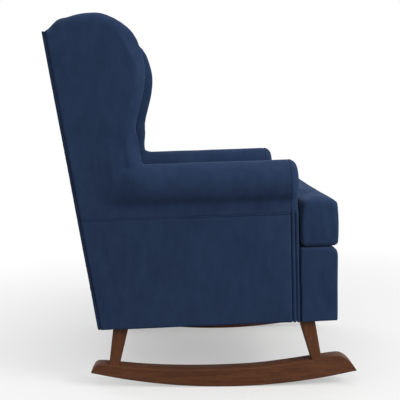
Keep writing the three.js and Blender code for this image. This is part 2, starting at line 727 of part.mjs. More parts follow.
// Distance of a place on the cushion's plan to the nearest edge of the T
function cushionEdgeDistance(x, depth, plan) {
  const side = Math.abs(x);
  const inStem = side <= plan.stem;
  const beforeEars = depth <= plan.ear;
  const distances = [depth - plan.front, plan.back - depth];
  distances.push(beforeEars ? plan.reach - side : plan.stem - side);
  if (beforeEars) {
    distances.push(inStem ? Math.hypot(plan.stem - side, plan.ear - depth) : plan.ear - depth);
  }
  return Math.max(Math.min(...distances), 0);
}

// Height above the edge's foot: a quarter round at the edge and the crown behind it
function cushionRise(distance, crown) {
  const near = CUSHION_EDGE_ROUND - Math.min(distance, CUSHION_EDGE_ROUND);
  const round = Math.sqrt(CUSHION_EDGE_ROUND ** 2 - near ** 2);
  const far = 1 - Math.min(distance / CUSHION_CROWN_REACH, 1);
  return round + crown * (1 - far ** 2);
}

// Grid place moved so that the outer corners of the plan are round
function roundedPlace(x, depth, plan) {
  const side = Math.abs(x);
  const ends = [plan.front + CUSHION_CORNER_ROUND, plan.ear - CUSHION_CORNER_ROUND];
  const centreX = (depth <= plan.ear ? plan.reach : plan.stem) - CUSHION_CORNER_ROUND;
  const centre = depth < ends[0] ? ends[0] : ends[1];
  const inFront = depth < ends[0] || (depth > ends[1] && depth <= plan.ear && side > plan.stem);
  const atBack = depth > plan.back - CUSHION_CORNER_ROUND;
  if (side <= centreX || !(inFront || atBack)) {
    return new THREE.Vector2(x, depth);
  }
  const middle = atBack ? plan.back - CUSHION_CORNER_ROUND : centre;
  const across = (side - centreX) / CUSHION_CORNER_ROUND;
  const along = (depth - middle) / CUSHION_CORNER_ROUND;
  const roundX = centreX + CUSHION_CORNER_ROUND * across * Math.sqrt(1 - along ** 2 / 2);
  const roundDepth = middle + CUSHION_CORNER_ROUND * along * Math.sqrt(1 - across ** 2 / 2);
  return new THREE.Vector2(Math.sign(x) * roundX, roundDepth);
}

// Grid lines of the cushion's plan along X and along its depth
function cushionGrid(plan) {
  const edge = CUSHION_EDGE_shares.map((share) => CUSHION_EDGE_ROUND * share);
  const before = (end) => edge.map((width) => end - width).reverse();
  const middle = CUSHION_MIDDLE_shares.map((share) => share * (plan.stem - CUSHION_EDGE_ROUND));
  const half = [...middle, ...before(plan.stem), ...before(plan.reach)];
  const stem = CUSHION_STEM_shares.map((share) => THREE.MathUtils.lerp(plan.ear, plan.back, share));
  const depths = [
    ...edge.map((width) => plan.front + width), (plan.front + plan.ear) / 2, ...before(plan.ear),
    ...stem, ...before(plan.back),
  ];
  return { across: [...half.slice(1).map((x) => -x).reverse(), ...half], depths };
}

// Plan of the T: half widths of stem and ears, front, back of the ears and back, less the belly
function cushionPlan() {
  return {
    stem: ARM_INNER - CUSHION_SIDE_CLEARANCE - CUSHION_BELLY,
    reach: BODY_HALF_WIDTH - CUSHION_BELLY,
    front: CUSHION_BELLY + CUSHION_FRONT_SETBACK - BORDER_FRONT,
    ear: -FACING_FRONT - CUSHION_FACING_CLEARANCE - CUSHION_BELLY,
    back: CUSHION_BACK - CUSHION_BELLY,
  };
}

// Cells of the grid that the T covers, each as the numbers of its four corners
function cushionCells(across, depths, plan) {
  const cells = [];
  for (let row = 1; row < depths.length; row += 1) {
    for (let column = 1; column < across.length; column += 1) {
      const middle = Math.abs(across[column] + across[column - 1]) / 2;
      if (middle < plan.stem || depths[row] <= plan.ear) {
        const first = (row - 1) * across.length + column - 1;
        cells.push([first, first + 1, first + across.length + 1, first + across.length]);
      }
    }
  }
  return cells;
}

// Corners round the T in order, from the cell sides that no other cell shares
function rimLoop(cells) {
  const sides = new Map();
  for (const cell of cells) {
    cell.forEach((from, place) => {
      const to = cell[(place + 1) % cell.length];
      sides.set(`${from}:${to}`, [from, to]);
    });
  }
  const next = new Map();
  for (const [from, to] of sides.values()) {
    if (!sides.has(`${to}:${from}`)) {
      next.set(from, to);
    }
  }
  const loop = [next.keys().next().value];
  while (next.get(loop.at(-1)) !== loop[0]) {
    loop.push(next.get(loop.at(-1)));
  }
  return loop;
}

// Corner at a height over a place of the plan; the back end leans with the inside back
function cushionCorner(x, depth, height, plan) {
  const place = roundedPlace(x, depth, plan);
  const share = THREE.MathUtils.smoothstep(place.y, CUSHION_BACK - CUSHION_LEAN_LENGTH, CUSHION_BACK);
  const lean = share * FACE_SLOPE * (height - DECK_TOP - GAP);
  return new THREE.Vector3(place.x, place.y + lean, height);
}

// Bellied rows of corners between the top's rim and the foot's
function cushionSides(loop, tops, feet) {
  const rim = loop.map((place) => new THREE.Vector2(tops[place].x, tops[place].y));
  const belly = insetOutline(rim, -CUSHION_BELLY, rim.map(() => 1));
  return CUSHION_SIDE_shares.map((share) => loop.map((place, step) => {
    const out = belly[step].clone().sub(rim[step]);
    return tops[place].clone().lerp(feet[place], share).add(new THREE.Vector3(out.x, out.y, 0));
  }));
}

// Band of faces between neighbouring rows of a closed loop
function bandFaces(rows) {
  return rows.slice(1).flatMap((row, above) => row.flatMap((corner, place) => {
    const next = (place + 1) % row.length;
    const upper = rows[above];
    return [[upper[place], corner, row[next]], [upper[place], row[next], upper[next]]];
  }));
}

// The same solid without the corners that no face uses
function usedOnly(corners, faces) {
  const used = [...new Set(faces.flat())];
  const number = new Map(used.map((corner, place) => [corner, place]));
  const renumbered = faces.map((face) => face.map((corner) => number.get(corner)));
  return solidFrom(used.map((corner) => corners[corner]), renumbered);
}

// T-shaped seat cushion: a grid over its plan, crowned above, with bellied sides
function seatCushion() {
  const plan = cushionPlan();
  const { across, depths } = cushionGrid(plan);
  const cells = cushionCells(across, depths, plan);
  const loop = rimLoop(cells);
  const foot = DECK_TOP + GAP + CUSHION_EDGE_ROUND;
  const shoulderFoot = DECK_TOP + GAP + CUSHION_THICK - CUSHION_EDGE_ROUND;
  const tops = [];
  const feet = [];
  for (const depth of depths) {
    for (const x of across) {
      const distance = cushionEdgeDistance(x, depth, plan);
      tops.push(cushionCorner(x, depth, shoulderFoot + cushionRise(distance, CUSHION_CROWN), plan));
      feet.push(cushionCorner(x, depth, foot - cushionRise(distance, 0), plan));
    }
  }
  const sides = cushionSides(loop, tops, feet);
  const below = tops.length;
  const beside = tops.length + feet.length;
  const rows = [
    loop,
    ...sides.map((side, row) => side.map((corner, place) => beside + row * loop.length + place)),
    loop.map((place) => below + place),
  ];
  const top = cells.flatMap(([a, b, c, d]) => [[a, b, c], [a, c, d]]);
  const bottom = top.map(([a, b, c]) => [below + a, below + c, below + b]);
  return usedOnly([...tops, ...feet, ...sides.flat()], [...top, ...bottom, ...bandFaces(rows)]);
}

// Board whose front and back follow the rake of the back, between two heights
function rakedBoard(front, back, base, top, from, to) {
  const outline = points([[front(base), base], [back(base), base], [back(top), top], [front(top), top]]);
  return sideBoard(outline, from, to);
}

// Square with cut corners about a centre
function chamferedSquare(x, depth, side, chamfer) {
  const half = side / 2;
  const short = half - chamfer;
  return points([
    [-half, -short], [-short, -half], [short, -half], [half, -short],
    [half, short], [short, half], [-short, half], [-half, short],
  ]).map((point) => point.add(new THREE.Vector2(x, depth)));
}

// Middle of a leg and its width at a height below the body
function legAt(leg, height) {
  const share = -height / LEG_LENGTH;
  const width = THREE.MathUtils.lerp(LEG_TOP_WIDTH, LEG_FOOT_WIDTH, share);
  return { x: LEG_OUTER - width / 2, depth: leg.place - leg.lean * SPLAY_SLOPE * height, width };
}

function toWorld(geometry) {
  return geometry.applyMatrix4(body.matrix);
}

// Depth and height of a leg's foot middle in the rockers' frame
function legFoot(leg) {
  const { x, depth } = legAt(leg, -LEG_LENGTH);
  return new THREE.Vector3(x, depth, -LEG_LENGTH).applyMatrix4(body.matrix);
}

function rockerTopCurve(lift) {
  const curve = new THREE.SplineCurve(points(ROCKER_TOP_shares));
  return curve.getPoints(ROCKER_TOP_STEPS).map((point) => {
    const along = point.x * ROCKER_HALF_LENGTH;
    return new THREE.Vector2(along, rockerUnderside(along) + ROCKER_HEIGHT * point.y + lift);
  });
}

// Height of the rocker's top at a place along it
function rockerTop(along) {
  const curve = rockerTopCurve(0);
  const after = curve.findIndex((point) => point.x > along);
  const [low, high] = [curve[after - 1], curve[after]];
  return THREE.MathUtils.mapLinear(along, low.x, high.x, low.y, high.y);
}

// Underside of the rocker in flat facets, the middle one level on the floor
function rockerFacets() {
  const reach = Math.asin(ROCKER_HALF_LENGTH / ROCKER_RADIUS);
  const level = ROCKER_RADIUS * Math.cos(reach / ROCKER_FACETS);
  const facets = [];
  for (let step = 0; step <= ROCKER_FACETS; step += 1) {
    const angle = THREE.MathUtils.lerp(reach, -reach, step / ROCKER_FACETS);
    facets.push(new THREE.Vector2(ROCKER_RADIUS * Math.sin(angle), level - ROCKER_RADIUS * Math.cos(angle)));
  }
  return facets;
}

function rockerScrewPlace(leg) {
  const foot = legFoot(leg);
  const head = rockerUnderside(foot.y) + ROCKER_SCREW_SINK;
  return { x: foot.x, depth: foot.y, head, tip: rockerTop(foot.y) + ROCKER_SCREW_BITE };
}

// Screw, or with a clearance the hole that it fills, open below
function rockerScrew(leg, grow, sunk) {
  const { x, depth, head, tip } = rockerScrewPlace(leg);
  const shoulder = head + ROCKER_SCREW_HEAD_HEIGHT + grow;
  const top = rod(ROCKER_SCREW_HEAD + grow, x, depth, head - sunk, shoulder);
  return join(top, rod(ROCKER_SCREW_RADIUS + grow, x, depth, head, tip + grow));
}

function rocker() {
  const outline = [...rockerTopCurve(0), ...rockerFacets()];
  const shares = outline.map((point) => (Math.abs(point.x) < ROCKER_HALF_LENGTH - ROCKER_HEIGHT ? 1 : 0));
  const rows = roundedRows(ROCKER_THICK, ROCKER_CHAMFER, 1);
  const solid = sideSlab(outline, ROCKER_OUTER - ROCKER_THICK, rows, shares);
  return cut(solid, ...LEGS.map((leg) => rockerScrew(leg, GAP, ROCKER_HEIGHT)));
}

// Hanger bolt between leg and side rail, or with a clearance its hole
function hangerBolt(leg, grow) {
  const { x, depth } = legAt(leg, 0);
  const top = FRAME_BASE + HANGER_BOLT_UP + grow;
  return rod(HANGER_BOLT_RADIUS + grow, x, depth, -HANGER_BOLT_DOWN - grow, top);
}

function legPlate(leg) {
  const { x, depth } = legAt(leg, 0);
  const half = LEG_PLATE_SIDE / 2;
  const top = FRAME_BASE - GAP;
  const plate = box(x - half, x + half, depth - half, depth + half, top - LEG_PLATE_THICK, top);
  return cut(plate, hangerBolt(leg, GAP));
}

// Square tapered leg, trimmed to the rocker's top
function legSolid(leg) {
  const rings = [FRAME_BASE - LEG_PLATE_THICK - GAP - GAP, -LEG_LENGTH - CUT_OVERRUN].map((height) => {
    const { x, depth, width } = legAt(leg, height);
    const ring = chamferedSquare(x, depth, width, LEG_CHAMFER);
    return ring.map((point) => new THREE.Vector3(point.x, point.y, height));
  });
  const solid = ringSolid(rings, (corner) => new THREE.Vector2(corner.x, corner.y));
  const top = rockerTopCurve(GAP);
  const start = new THREE.Vector2(top[0].x, -CUT_OVERRUN);
  const end = new THREE.Vector2(top.at(-1).x, -CUT_OVERRUN);
  const trim = sideBoard([start, ...top, end], 0, BODY_HALF_WIDTH);
  return cut(toWorld(solid), trim, toWorld(hangerBolt(leg, GAP)), rockerScrew(leg, GAP, 0));
}

function sideRail() {
  const front = GAP - FRONT_RAIL_BACK;
  const rail = rakedBoard(() => front, rearInside, FRAME_BASE, SIDE_RAIL_TOP, SIDE_RAIL_INNER, FRAME_OUTER);
  return cut(rail, ...LEGS.map((leg) => hangerBolt(leg, GAP)));
}

function frontRail() {
  return box(-FRAME_OUTER, FRAME_OUTER, -FRONT_RAIL_FACE, -FRONT_RAIL_BACK, FRAME_BASE, SEAT_RAIL_TOP);
}

function backSeatRail() {
  const half = SIDE_RAIL_INNER - GAP;
  return box(-half, half, BACK_RAIL_FRONT, BACK_RAIL_BACK, FRAME_BASE, SEAT_RAIL_TOP);
}

function frontBoxSide() {
  const inner = FRAME_OUTER - BOX_SIDE_THICK;
  return box(inner, FRAME_OUTER, GAP - FRONT_RAIL_BACK, -BORDER_BACK, SIDE_RAIL_TOP + GAP, SEAT_RAIL_TOP);
}

// Three-cornered block between a side rail and the rail across it
function cornerBlock(corner, towards) {
  const outer = SIDE_RAIL_INNER - GAP;
  const outline = points([
    [outer, corner], [outer - CORNER_BLOCK_LEG, corner], [outer, corner + towards * CORNER_BLOCK_LEG],
  ]);
  return uprightPrism(outline, FRAME_BASE, SIDE_RAIL_TOP);
}

function armPost() {
  const back = ARM_FRONT + ARM_POST_DEPTH;
  return box(HOLLOW_INNER + GAP, FRAME_OUTER, ARM_FRONT, back, SIDE_RAIL_TOP + GAP, ARM_RAIL_BASE - GAP);
}

function armRail() {
  const back = (height) => postFront(height) - GAP;
  return rakedBoard(() => ARM_FRONT, back, ARM_RAIL_BASE, ARM_RAIL_TOP, HOLLOW_INNER + GAP, FRAME_OUTER);
}

function backPost() {
  const base = SIDE_RAIL_TOP + GAP;
  return rakedBoard(postFront, rearInside, base, BACK_POST_TOP, BACK_POST_INNER, BACK_POST_OUTER);
}

function wingBoard() {
  return sideBoard(wingBoardOutline(0), WING_BOARD_INNER, WING_BOARD_OUTER);
}

function crestRail() {
  const half = BACK_POST_INNER - GAP;
  const front = (height) => rearInside(height) - BOARD_THICK;
  return rakedBoard(front, rearInside, BACK_POST_TOP - CREST_RAIL_HEIGHT, BACK_POST_TOP, -half, half);
}

function lumbarRail() {
  const half = BACK_POST_INNER - GAP;
  const back = (height) => postFront(height) + BOARD_THICK;
  const top = LUMBAR_RAIL_BASE + LUMBAR_RAIL_HEIGHT;
  return rakedBoard(postFront, back, LUMBAR_RAIL_BASE, top, -half, half);
}

function seatStrap(strap) {
  const x = (strap - (SEAT_STRAP_COUNT - 1) / 2) * SEAT_STRAP_PITCH;
  const half = STRAP_WIDTH / 2;
  return box(x - half, x + half, -FRONT_RAIL_FACE, BACK_RAIL_BACK, STRAP_TOP - STRAP_THICK, STRAP_TOP);
}

// The first strap lies below the arm rails, the others between them and the crest rail
function backStrap(strap) {
  const lowest = ARM_RAIL_BASE - BACK_STRAP_CLEARANCE - STRAP_WIDTH;
  const second = ARM_RAIL_TOP + BACK_STRAP_CLEARANCE;
  const last = BACK_POST_TOP - CREST_RAIL_HEIGHT - BACK_STRAP_CLEARANCE - STRAP_WIDTH;
  const share = (strap - 1) / (BACK_STRAP_COUNT - 2);
  const base = strap === 0 ? lowest : THREE.MathUtils.lerp(second, last, share);
  const front = (height) => postFront(height) - STRAP_THICK - GAP;
  const back = (height) => postFront(height) - GAP;
  return rakedBoard(front, back, base, base + STRAP_WIDTH, -BACK_POST_OUTER, BACK_POST_OUTER);
}

function dustCover() {
  const half = SIDE_RAIL_INNER + DUST_COVER_OVERLAP;
  const front = DUST_COVER_OVERLAP - FRONT_RAIL_FACE;
  const back = rearInside(0) - DUST_COVER_OVERLAP;
  const top = FRAME_BASE - GAP;
  return box(-half, half, front, back, top - DUST_COVER_THICK, top);
}

function addFrame() {
  addPair(body, 'side_rail', sideRail(), pine);
  addPiece(body, 'front_rail', frontRail(), pine);
  addPiece(body, 'back_seat_rail', backSeatRail(), pine);
  addPair(body, 'front_box_side', frontBoxSide(), pine);
  addPair(body, 'front_corner_block', cornerBlock(GAP - FRONT_RAIL_BACK, 1), pine);
  addPair(body, 'rear_corner_block', cornerBlock(BACK_RAIL_FRONT - GAP, -1), pine);
  addPair(body, 'arm_post', armPost(), pine);
  addPair(body, 'arm_rail', armRail(), pine);
  addPair(body, 'back_post', backPost(), pine);
  addPair(body, 'wing_board', wingBoard(), pine);
  addPiece(body, 'crest_rail', crestRail(), pine);
  addPiece(body, 'lumbar_rail', lumbarRail(), pine);
}

function addWebbing() {
  for (let strap = 0; strap < SEAT_STRAP_COUNT; strap += 1) {
    addPiece(body, `seat_strap_${strap + 1}`, seatStrap(strap), webbing);
  }
  for (let strap = 0; strap < BACK_STRAP_COUNT; strap += 1) {
    addPiece(body, `back_strap_${strap + 1}`, backStrap(strap), webbing);
  }
}

function addUpholstery() {
  addPair(body, 'wing_and_arm', wingAndArm(), velvet);
  addPair(body, 'arm_facing', armFacing(), velvet);
  addPair(body, 'side_panel', sidePanel(), velvet);
  addPiece(body, 'outside_back', outsideBack(), velvet);
  addPiece(body, 'inside_back', insideBack(), velvet);
  addPiece(body, 'front_border', frontBorder(), velvet);
  addPiece(body, 'deck_pad', deckPad(), lining);
  addPiece(body, 'seat_cushion', seatCushion(), velvet);
  addPiece(body, 'dust_cover', dustCover(), lining);
}

function addBase() {
  addPair(group, 'rocker', rocker(), walnut);
  for (const leg of LEGS) {
    addPair(group, `${leg.name}_leg`, legSolid(leg), walnut);
    addPair(group, `${leg.name}_rocker_screw`, rockerScrew(leg, 0, 0), steel);
    addPair(body, `${leg.name}_leg_plate`, legPlate(leg), steel);
    addPair(body, `${leg.name}_hanger_bolt`, hangerBolt(leg, 0), steel);
  }
}

addFrame();
addWebbing();
addUpholstery();
addBase();

// The middle of the chair's whole depth stands over the origin
const bounds = new THREE.Box3().setFromObject(group);
group.position.y = -(bounds.min.y + bounds.max.y) / 2;
group.updateMatrixWorld(true);

export default group;
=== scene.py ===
"""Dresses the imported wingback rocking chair: covers, cushion, wood, webbing, trim and a plain studio.

Lengths are metres in the CAD frame: +Z up, the seat faces -Y, the sitter's right is -X. Depth and height in the
classes below are those of the upholstered body, which leans back a little on its rockers.
"""

from __future__ import annotations

import logging
import math
from collections.abc import Callable, Iterable, Sequence
from dataclasses import dataclass
from enum import Enum

import bmesh
import bpy
import numpy as np
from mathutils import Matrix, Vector, noise
from mathutils.bvhtree import BVHTree
from mathutils.kdtree import KDTree

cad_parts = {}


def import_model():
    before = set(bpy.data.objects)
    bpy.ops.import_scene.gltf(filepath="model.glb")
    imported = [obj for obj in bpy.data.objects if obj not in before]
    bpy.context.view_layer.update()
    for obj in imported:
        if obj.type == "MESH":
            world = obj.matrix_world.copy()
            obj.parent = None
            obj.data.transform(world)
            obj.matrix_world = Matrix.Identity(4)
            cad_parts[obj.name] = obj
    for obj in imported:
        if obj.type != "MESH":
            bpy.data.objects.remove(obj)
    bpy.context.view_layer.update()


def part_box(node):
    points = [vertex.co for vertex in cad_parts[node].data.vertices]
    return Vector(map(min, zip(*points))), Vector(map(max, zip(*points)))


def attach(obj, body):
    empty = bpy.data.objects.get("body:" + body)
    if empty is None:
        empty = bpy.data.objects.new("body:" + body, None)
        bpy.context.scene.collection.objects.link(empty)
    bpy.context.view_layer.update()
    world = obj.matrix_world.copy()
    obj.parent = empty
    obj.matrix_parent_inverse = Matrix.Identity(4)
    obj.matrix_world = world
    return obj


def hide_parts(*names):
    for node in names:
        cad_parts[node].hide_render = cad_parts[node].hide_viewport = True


log = logging.getLogger("chair")

Point2 = tuple[float, float]
Colour = tuple[float, float, float]

CHAIR = "chair"
CUSHION = "seat_cushion"
SIDES = (("left", 1), ("right", -1))
MERGE_DISTANCE = 1e-5
ROLL_STEP = math.radians(4)
CREASE_END = 0.12
LIP_STEPS = 12


@dataclass(frozen=True)
class BodyFrame:
    """Frame of the upholstered body: depth from its middle and height from its underside."""

    tilt: float = math.radians(1.9)
    setback: float = -0.0381
    rise: float = 0.179

    def place(self, x: float, depth: float, height: float) -> Vector:
        """Turns a place of the body into the row frame.

        Args:
            x: Distance to the sitter's left.
            depth: Distance behind the body's middle.
            height: Distance above the body's underside.

        Returns:
            The point in the row frame.
        """
        back, up = math.cos(self.tilt), math.sin(self.tilt)
        return Vector((x, self.setback + back * depth + up * height, self.rise - up * depth + back * height))

    def measure(self, corners: np.ndarray) -> np.ndarray:
        """Turns corners in the row frame into places of the body.

        Args:
            corners: Rows of x, y and z.

        Returns:
            Rows of x, depth and height.
        """
        back, up = math.cos(self.tilt), math.sin(self.tilt)
        along, above = corners[:, 1] - self.setback, corners[:, 2] - self.rise
        return np.stack([corners[:, 0], back * along - up * above, up * along + back * above], axis=1)

    def restore(self, places: np.ndarray) -> np.ndarray:
        """Turns places of the body back into corners in the row frame.

        Args:
            places: Rows of x, depth and height.

        Returns:
            Rows of x, y and z.
        """
        back, up = math.cos(self.tilt), math.sin(self.tilt)
        x, depth, height = places.T
        along, above = back * depth + up * height, back * height - up * depth
        return np.stack([x, self.setback + along, self.rise + above], axis=1)


BODY = BodyFrame()


@dataclass(frozen=True)
class Sizes:
    """Sizes of the body that several sub-assemblies share, as in the CAD source."""

    half_width: float = 0.320
    arm_inner: float = 0.234
    arm_top: float = 0.447
    arm_front: float = -0.2039
    seam_height: float = 0.302
    roll_radius: float = 0.058
    roll_bulge: float = 0.030
    roll_under: float = math.radians(-50)
    deck_top: float = 0.208
    facing_back: float = 0.2042
    facing_front: float = 0.2292
    wing_front: float = 0.17375
    wing_inner: float = 0.266
    rear_at_foot: float = 0.3207
    rake: float = math.tan(math.radians(7.6))
    face_slope: float = math.tan(math.radians(9.3))

    def rear(self, height: float) -> float:
        """Depth of the outside back panel's front at a height, or at an array of them."""
        return self.rear_at_foot + self.rake * height

    @property
    def roll_centre(self) -> Point2:
        """Place across and height of the middle of an arm's roll."""
        return self.half_width + self.roll_bulge - self.roll_radius, self.arm_top - self.roll_radius


SIZES = Sizes()


def smooth_step(value: float, low: float, high: float) -> float:
    """Share from 0 at low to 1 at high with soft ends, for a number or an array."""
    share = np.clip((value - low) / (high - low), 0.0, 1.0)
    return share * share * (3 - 2 * share)


def smooth_line(stops: Sequence[Point2], steps: int) -> list[Point2]:
    """Runs a smooth curve through stops, as the CAD source's spline does.

    Args:
        stops: The places that the curve passes.
        steps: How many pieces the curve is cut into.

    Returns:
        The points of the curve, ends included.
    """
    stops_array = np.array(stops, dtype=float)
    last = len(stops_array) - 1
    line = []
    for step in range(steps + 1):
        reach = last * step / steps
        first = min(int(reach), last - 1) if step < steps else last - 1
        share = reach - first
        before, start = stops_array[max(first - 1, 0)], stops_array[first]
        end, after = stops_array[first + 1], stops_array[min(first + 2, last)]
        leave, arrive = (end - before) / 2, (after - start) / 2
        point = (
            (2 * start - 2 * end + leave + arrive) * share**3
            + (3 * end - 3 * start - 2 * leave - arrive) * share**2
            + leave * share
            + start
        )
        line.append((float(point[0]), float(point[1])))
    return line


def bend(start: Point2, elbow: Point2, end: Point2, steps: int) -> list[Point2]:
    """Runs a curve from one place towards a second and on to a third.

    Args:
        start: Where the curve starts; it isn't among the points.
        elbow: The place that it leans to.
        end: Where it ends.
        steps: How many points it has.

    Returns:
        The points of the curve.
    """
    line = []
    for step in range(1, steps + 1):
        share = step / steps
        weights = ((1 - share) ** 2, 2 * share * (1 - share), share**2)
        across, up = (sum(weight * one for weight, one in zip(weights, axis)) for axis in zip(start, elbow, end))
        line.append((across, up))
    return line


def resampled(line: Sequence[Point2], spacing: float, closed: bool = False) -> list[Point2]:
    """Places evenly spaced along a line of straight pieces.

    Args:
        line: The corners of the line.
        spacing: The wanted distance between points.
        closed: True where the last corner leads back to the first.

    Returns:
        The new points; a closed line doesn't repeat its first.
    """
    corners = np.array([*line, line[0]] if closed else line, dtype=float)
    lengths = np.concatenate([[0], np.cumsum(np.linalg.norm(np.diff(corners, axis=0), axis=1))])
    count = max(2, round(lengths[-1] / spacing))
    along = np.linspace(0, lengths[-1], count + 1)
    points = np.stack([np.interp(along, lengths, corners[:, axis]) for axis in range(corners.shape[1])], axis=1)
    chosen = points[:-1] if closed else points
    return [tuple(point) for point in chosen.tolist()]


def inset_outline(outline: Sequence[Point2], distance: float, shares: Sequence[float]) -> list[Point2]:
    """Draws a closed outline in.

    Args:
        outline: The corners in order.
        distance: How far the outline moves inwards.
        shares: The share of that distance that each corner moves.

    Returns:
        The corners of the smaller outline.
    """
    points = np.array(outline, dtype=float)
    after = np.roll(points, -1, axis=0)
    turn = 1 if np.sum(points[:, 0] * after[:, 1] - after[:, 0] * points[:, 1]) > 0 else -1
    along = after - points
    along /= np.maximum(np.linalg.norm(along, axis=1, keepdims=True), 1e-9)
    second = turn * np.stack([-along[:, 1], along[:, 0]], axis=1)
    first = np.roll(second, 1, axis=0)
    middle = first + second
    reach = distance * np.array(shares) / np.maximum(np.sum(middle * first, axis=1), 0.5)
    moved = points + middle * reach[:, None]
    return [tuple(point) for point in moved.tolist()]


def rounded_corners(corners: Sequence[Point2], radii: Sequence[float], spacing: float) -> list[Point2]:
    """Closed outline with its corners turned into arcs.

    Args:
        corners: The sharp corners in order.
        radii: The radius at each corner.
        spacing: The distance between points.

    Returns:
        Evenly spaced points of the rounded outline.
    """
    line: list[Point2] = []
    for place, corner in enumerate(corners):
        here = Vector(corner)
        before = (Vector(corners[place - 1]) - here).normalized()
        after = (Vector(corners[(place + 1) % len(corners)]) - here).normalized()
        start, end = here + before * radii[place], here + after * radii[place]
        line.append(tuple(start))
        line.extend(bend(tuple(start), corner, tuple(end), 8))
    return resampled(line, spacing, closed=True)


def roll_line() -> list[Point2]:
    """Outer line of an arm's section, from the top of its inner face round the roll to the seam.

    Returns:
        Places across and up.
    """
    across, up = SIZES.roll_centre
    steps = round((math.pi - SIZES.roll_under) / ROLL_STEP)
    line = []
    for step in range(steps + 1):
        angle = math.pi + (SIZES.roll_under - math.pi) * step / steps
        line.append((across + SIZES.roll_radius * math.cos(angle), up + SIZES.roll_radius * math.sin(angle)))
    under = line[-1]
    slope = math.tan(-SIZES.roll_under)
    elbow = (SIZES.half_width, under[1] - (under[0] - SIZES.half_width) / slope)
    line.extend(bend(under, elbow, (SIZES.half_width, SIZES.seam_height), 12))
    return line


def point_tree(points: Iterable[Sequence[float]]) -> KDTree:
    """Search tree over points, numbered in their order.

    Args:
        points: The points.

    Returns:
        The tree, ready for searches.
    """
    points = list(points)
    tree = KDTree(len(points))
    for place, point in enumerate(points):
        tree.insert(point, place)
    tree.balance()
    return tree


def add_object(name: str, data: bpy.types.ID) -> bpy.types.Object:
    """Adds an object to the scene, at the origin.

    Args:
        name: The object's name.
        data: Its mesh, camera or light.

    Returns:
        The new object.
    """
    made = bpy.data.objects.new(name, data)
    bpy.context.scene.collection.objects.link(made)
    return made


def mesh_object(name: str, points: Iterable[Sequence[float]], faces: Iterable[Sequence[int]]) -> bpy.types.Object:
    """New mesh object at the origin, smooth shaded, linked to the scene.

    Args:
        name: The object's name.
        points: Its corners in the row frame.
        faces: The corner numbers of its faces.

    Returns:
        The new object.
    """
    mesh = bpy.data.meshes.new(name)
    mesh.from_pydata([tuple(point) for point in points], [], [tuple(face) for face in faces])
    mesh.update()
    mesh.polygons.foreach_set("use_smooth", [True] * len(mesh.polygons))
    return add_object(name, mesh)


def edit_mesh(made: bpy.types.Object, *edits: Callable[[bmesh.types.BMesh], object]) -> None:
    """Runs edits on an object's mesh.

    Args:
        made: The object.
        edits: The edits in order.
    """
    shape = bmesh.new()
    shape.from_mesh(made.data)
    for edit in edits:
        edit(shape)
    shape.to_mesh(made.data)
    shape.free()
    made.data.update()


def merge_doubles(shape: bmesh.types.BMesh) -> None:
    """Merges corners that lie on each other."""
    bmesh.ops.remove_doubles(shape, verts=shape.verts, dist=MERGE_DISTANCE)


def face_outwards(made: bpy.types.Object) -> None:
    """Merges doubles and turns the faces of a closed mesh outwards."""
    edit_mesh(made, merge_doubles, lambda shape: bmesh.ops.recalc_face_normals(shape, faces=shape.faces))


def ring_solid(name: str, rings: Sequence[Sequence[Sequence[float]]]) -> bpy.types.Object:
    """Closed solid through rings of equal counts, with flat caps.

    Args:
        name: The object's name.
        rings: The rings in order, each a list of points in the row frame.

    Returns:
        The new object; its caps are flat shaded.
    """
    count = len(rings[0])
    points = [point for ring in rings for point in ring]
    faces = []
    for row in range(1, len(rings)):
        for place in range(count):
            after = (place + 1) % count
            low, high = (row - 1) * count, row * count
            faces.append((low + place, low + after, high + after, high + place))
    last = (len(rings) - 1) * count
    caps = len(faces)
    faces.append(tuple(reversed(range(count))))
    faces.append(tuple(range(last, last + count)))
    made = mesh_object(name, points, faces)
    for cap in (caps, caps + 1):
        made.data.polygons[cap].use_smooth = False
    face_outwards(made)
    return made


def copied_node(node: str, name: str) -> bpy.types.Object:
    """Merged copy of a CAD node's mesh.

    Args:
        node: The CAD node to copy.
        name: Name of the new object and mesh.

    Returns:
        The new object, without a material.
    """
    mesh = bpy.data.objects[node].data.copy()
    mesh.name = name
    mesh.materials.clear()
    made = add_object(name, mesh)
    edit_mesh(made, merge_doubles)
    return made


def settle_modifiers(made: bpy.types.Object) -> None:
    """Bakes an object's modifiers into its mesh and removes them.

    Args:
        made: The object.
    """
    graph = bpy.context.evaluated_depsgraph_get()
    baked = bpy.data.meshes.new_from_object(made.evaluated_get(graph))
    old = made.data
    made.modifiers.clear()
    made.data = baked
    baked.name = made.name
    bpy.data.meshes.remove(old)


def corner_array(mesh: bpy.types.Mesh, kind: str = "co") -> np.ndarray:
    """Places or normals of a mesh's corners.

    Args:
        mesh: The mesh to read.
        kind: "co" for places, "normal" for normals.

    Returns:
        One row for each corner.
    """
    flat = np.empty(len(mesh.vertices) * 3, dtype=np.float64)
    mesh.vertices.foreach_get(kind, flat)
    return flat.reshape(-1, 3)


def move_corners(mesh: bpy.types.Mesh, corners: np.ndarray) -> None:
    """Writes new corner places into a mesh."""
    mesh.vertices.foreach_set("co", corners.reshape(-1))
    mesh.update()


def read_places(made: bpy.types.Object) -> np.ndarray:
    """Rows of x, depth and height of the body for an object's corners."""
    return BODY.measure(corner_array(made.data))


def write_places(made: bpy.types.Object, places: np.ndarray) -> None:
    """Moves an object's corners to places of the body."""
    move_corners(made.data, BODY.restore(places))


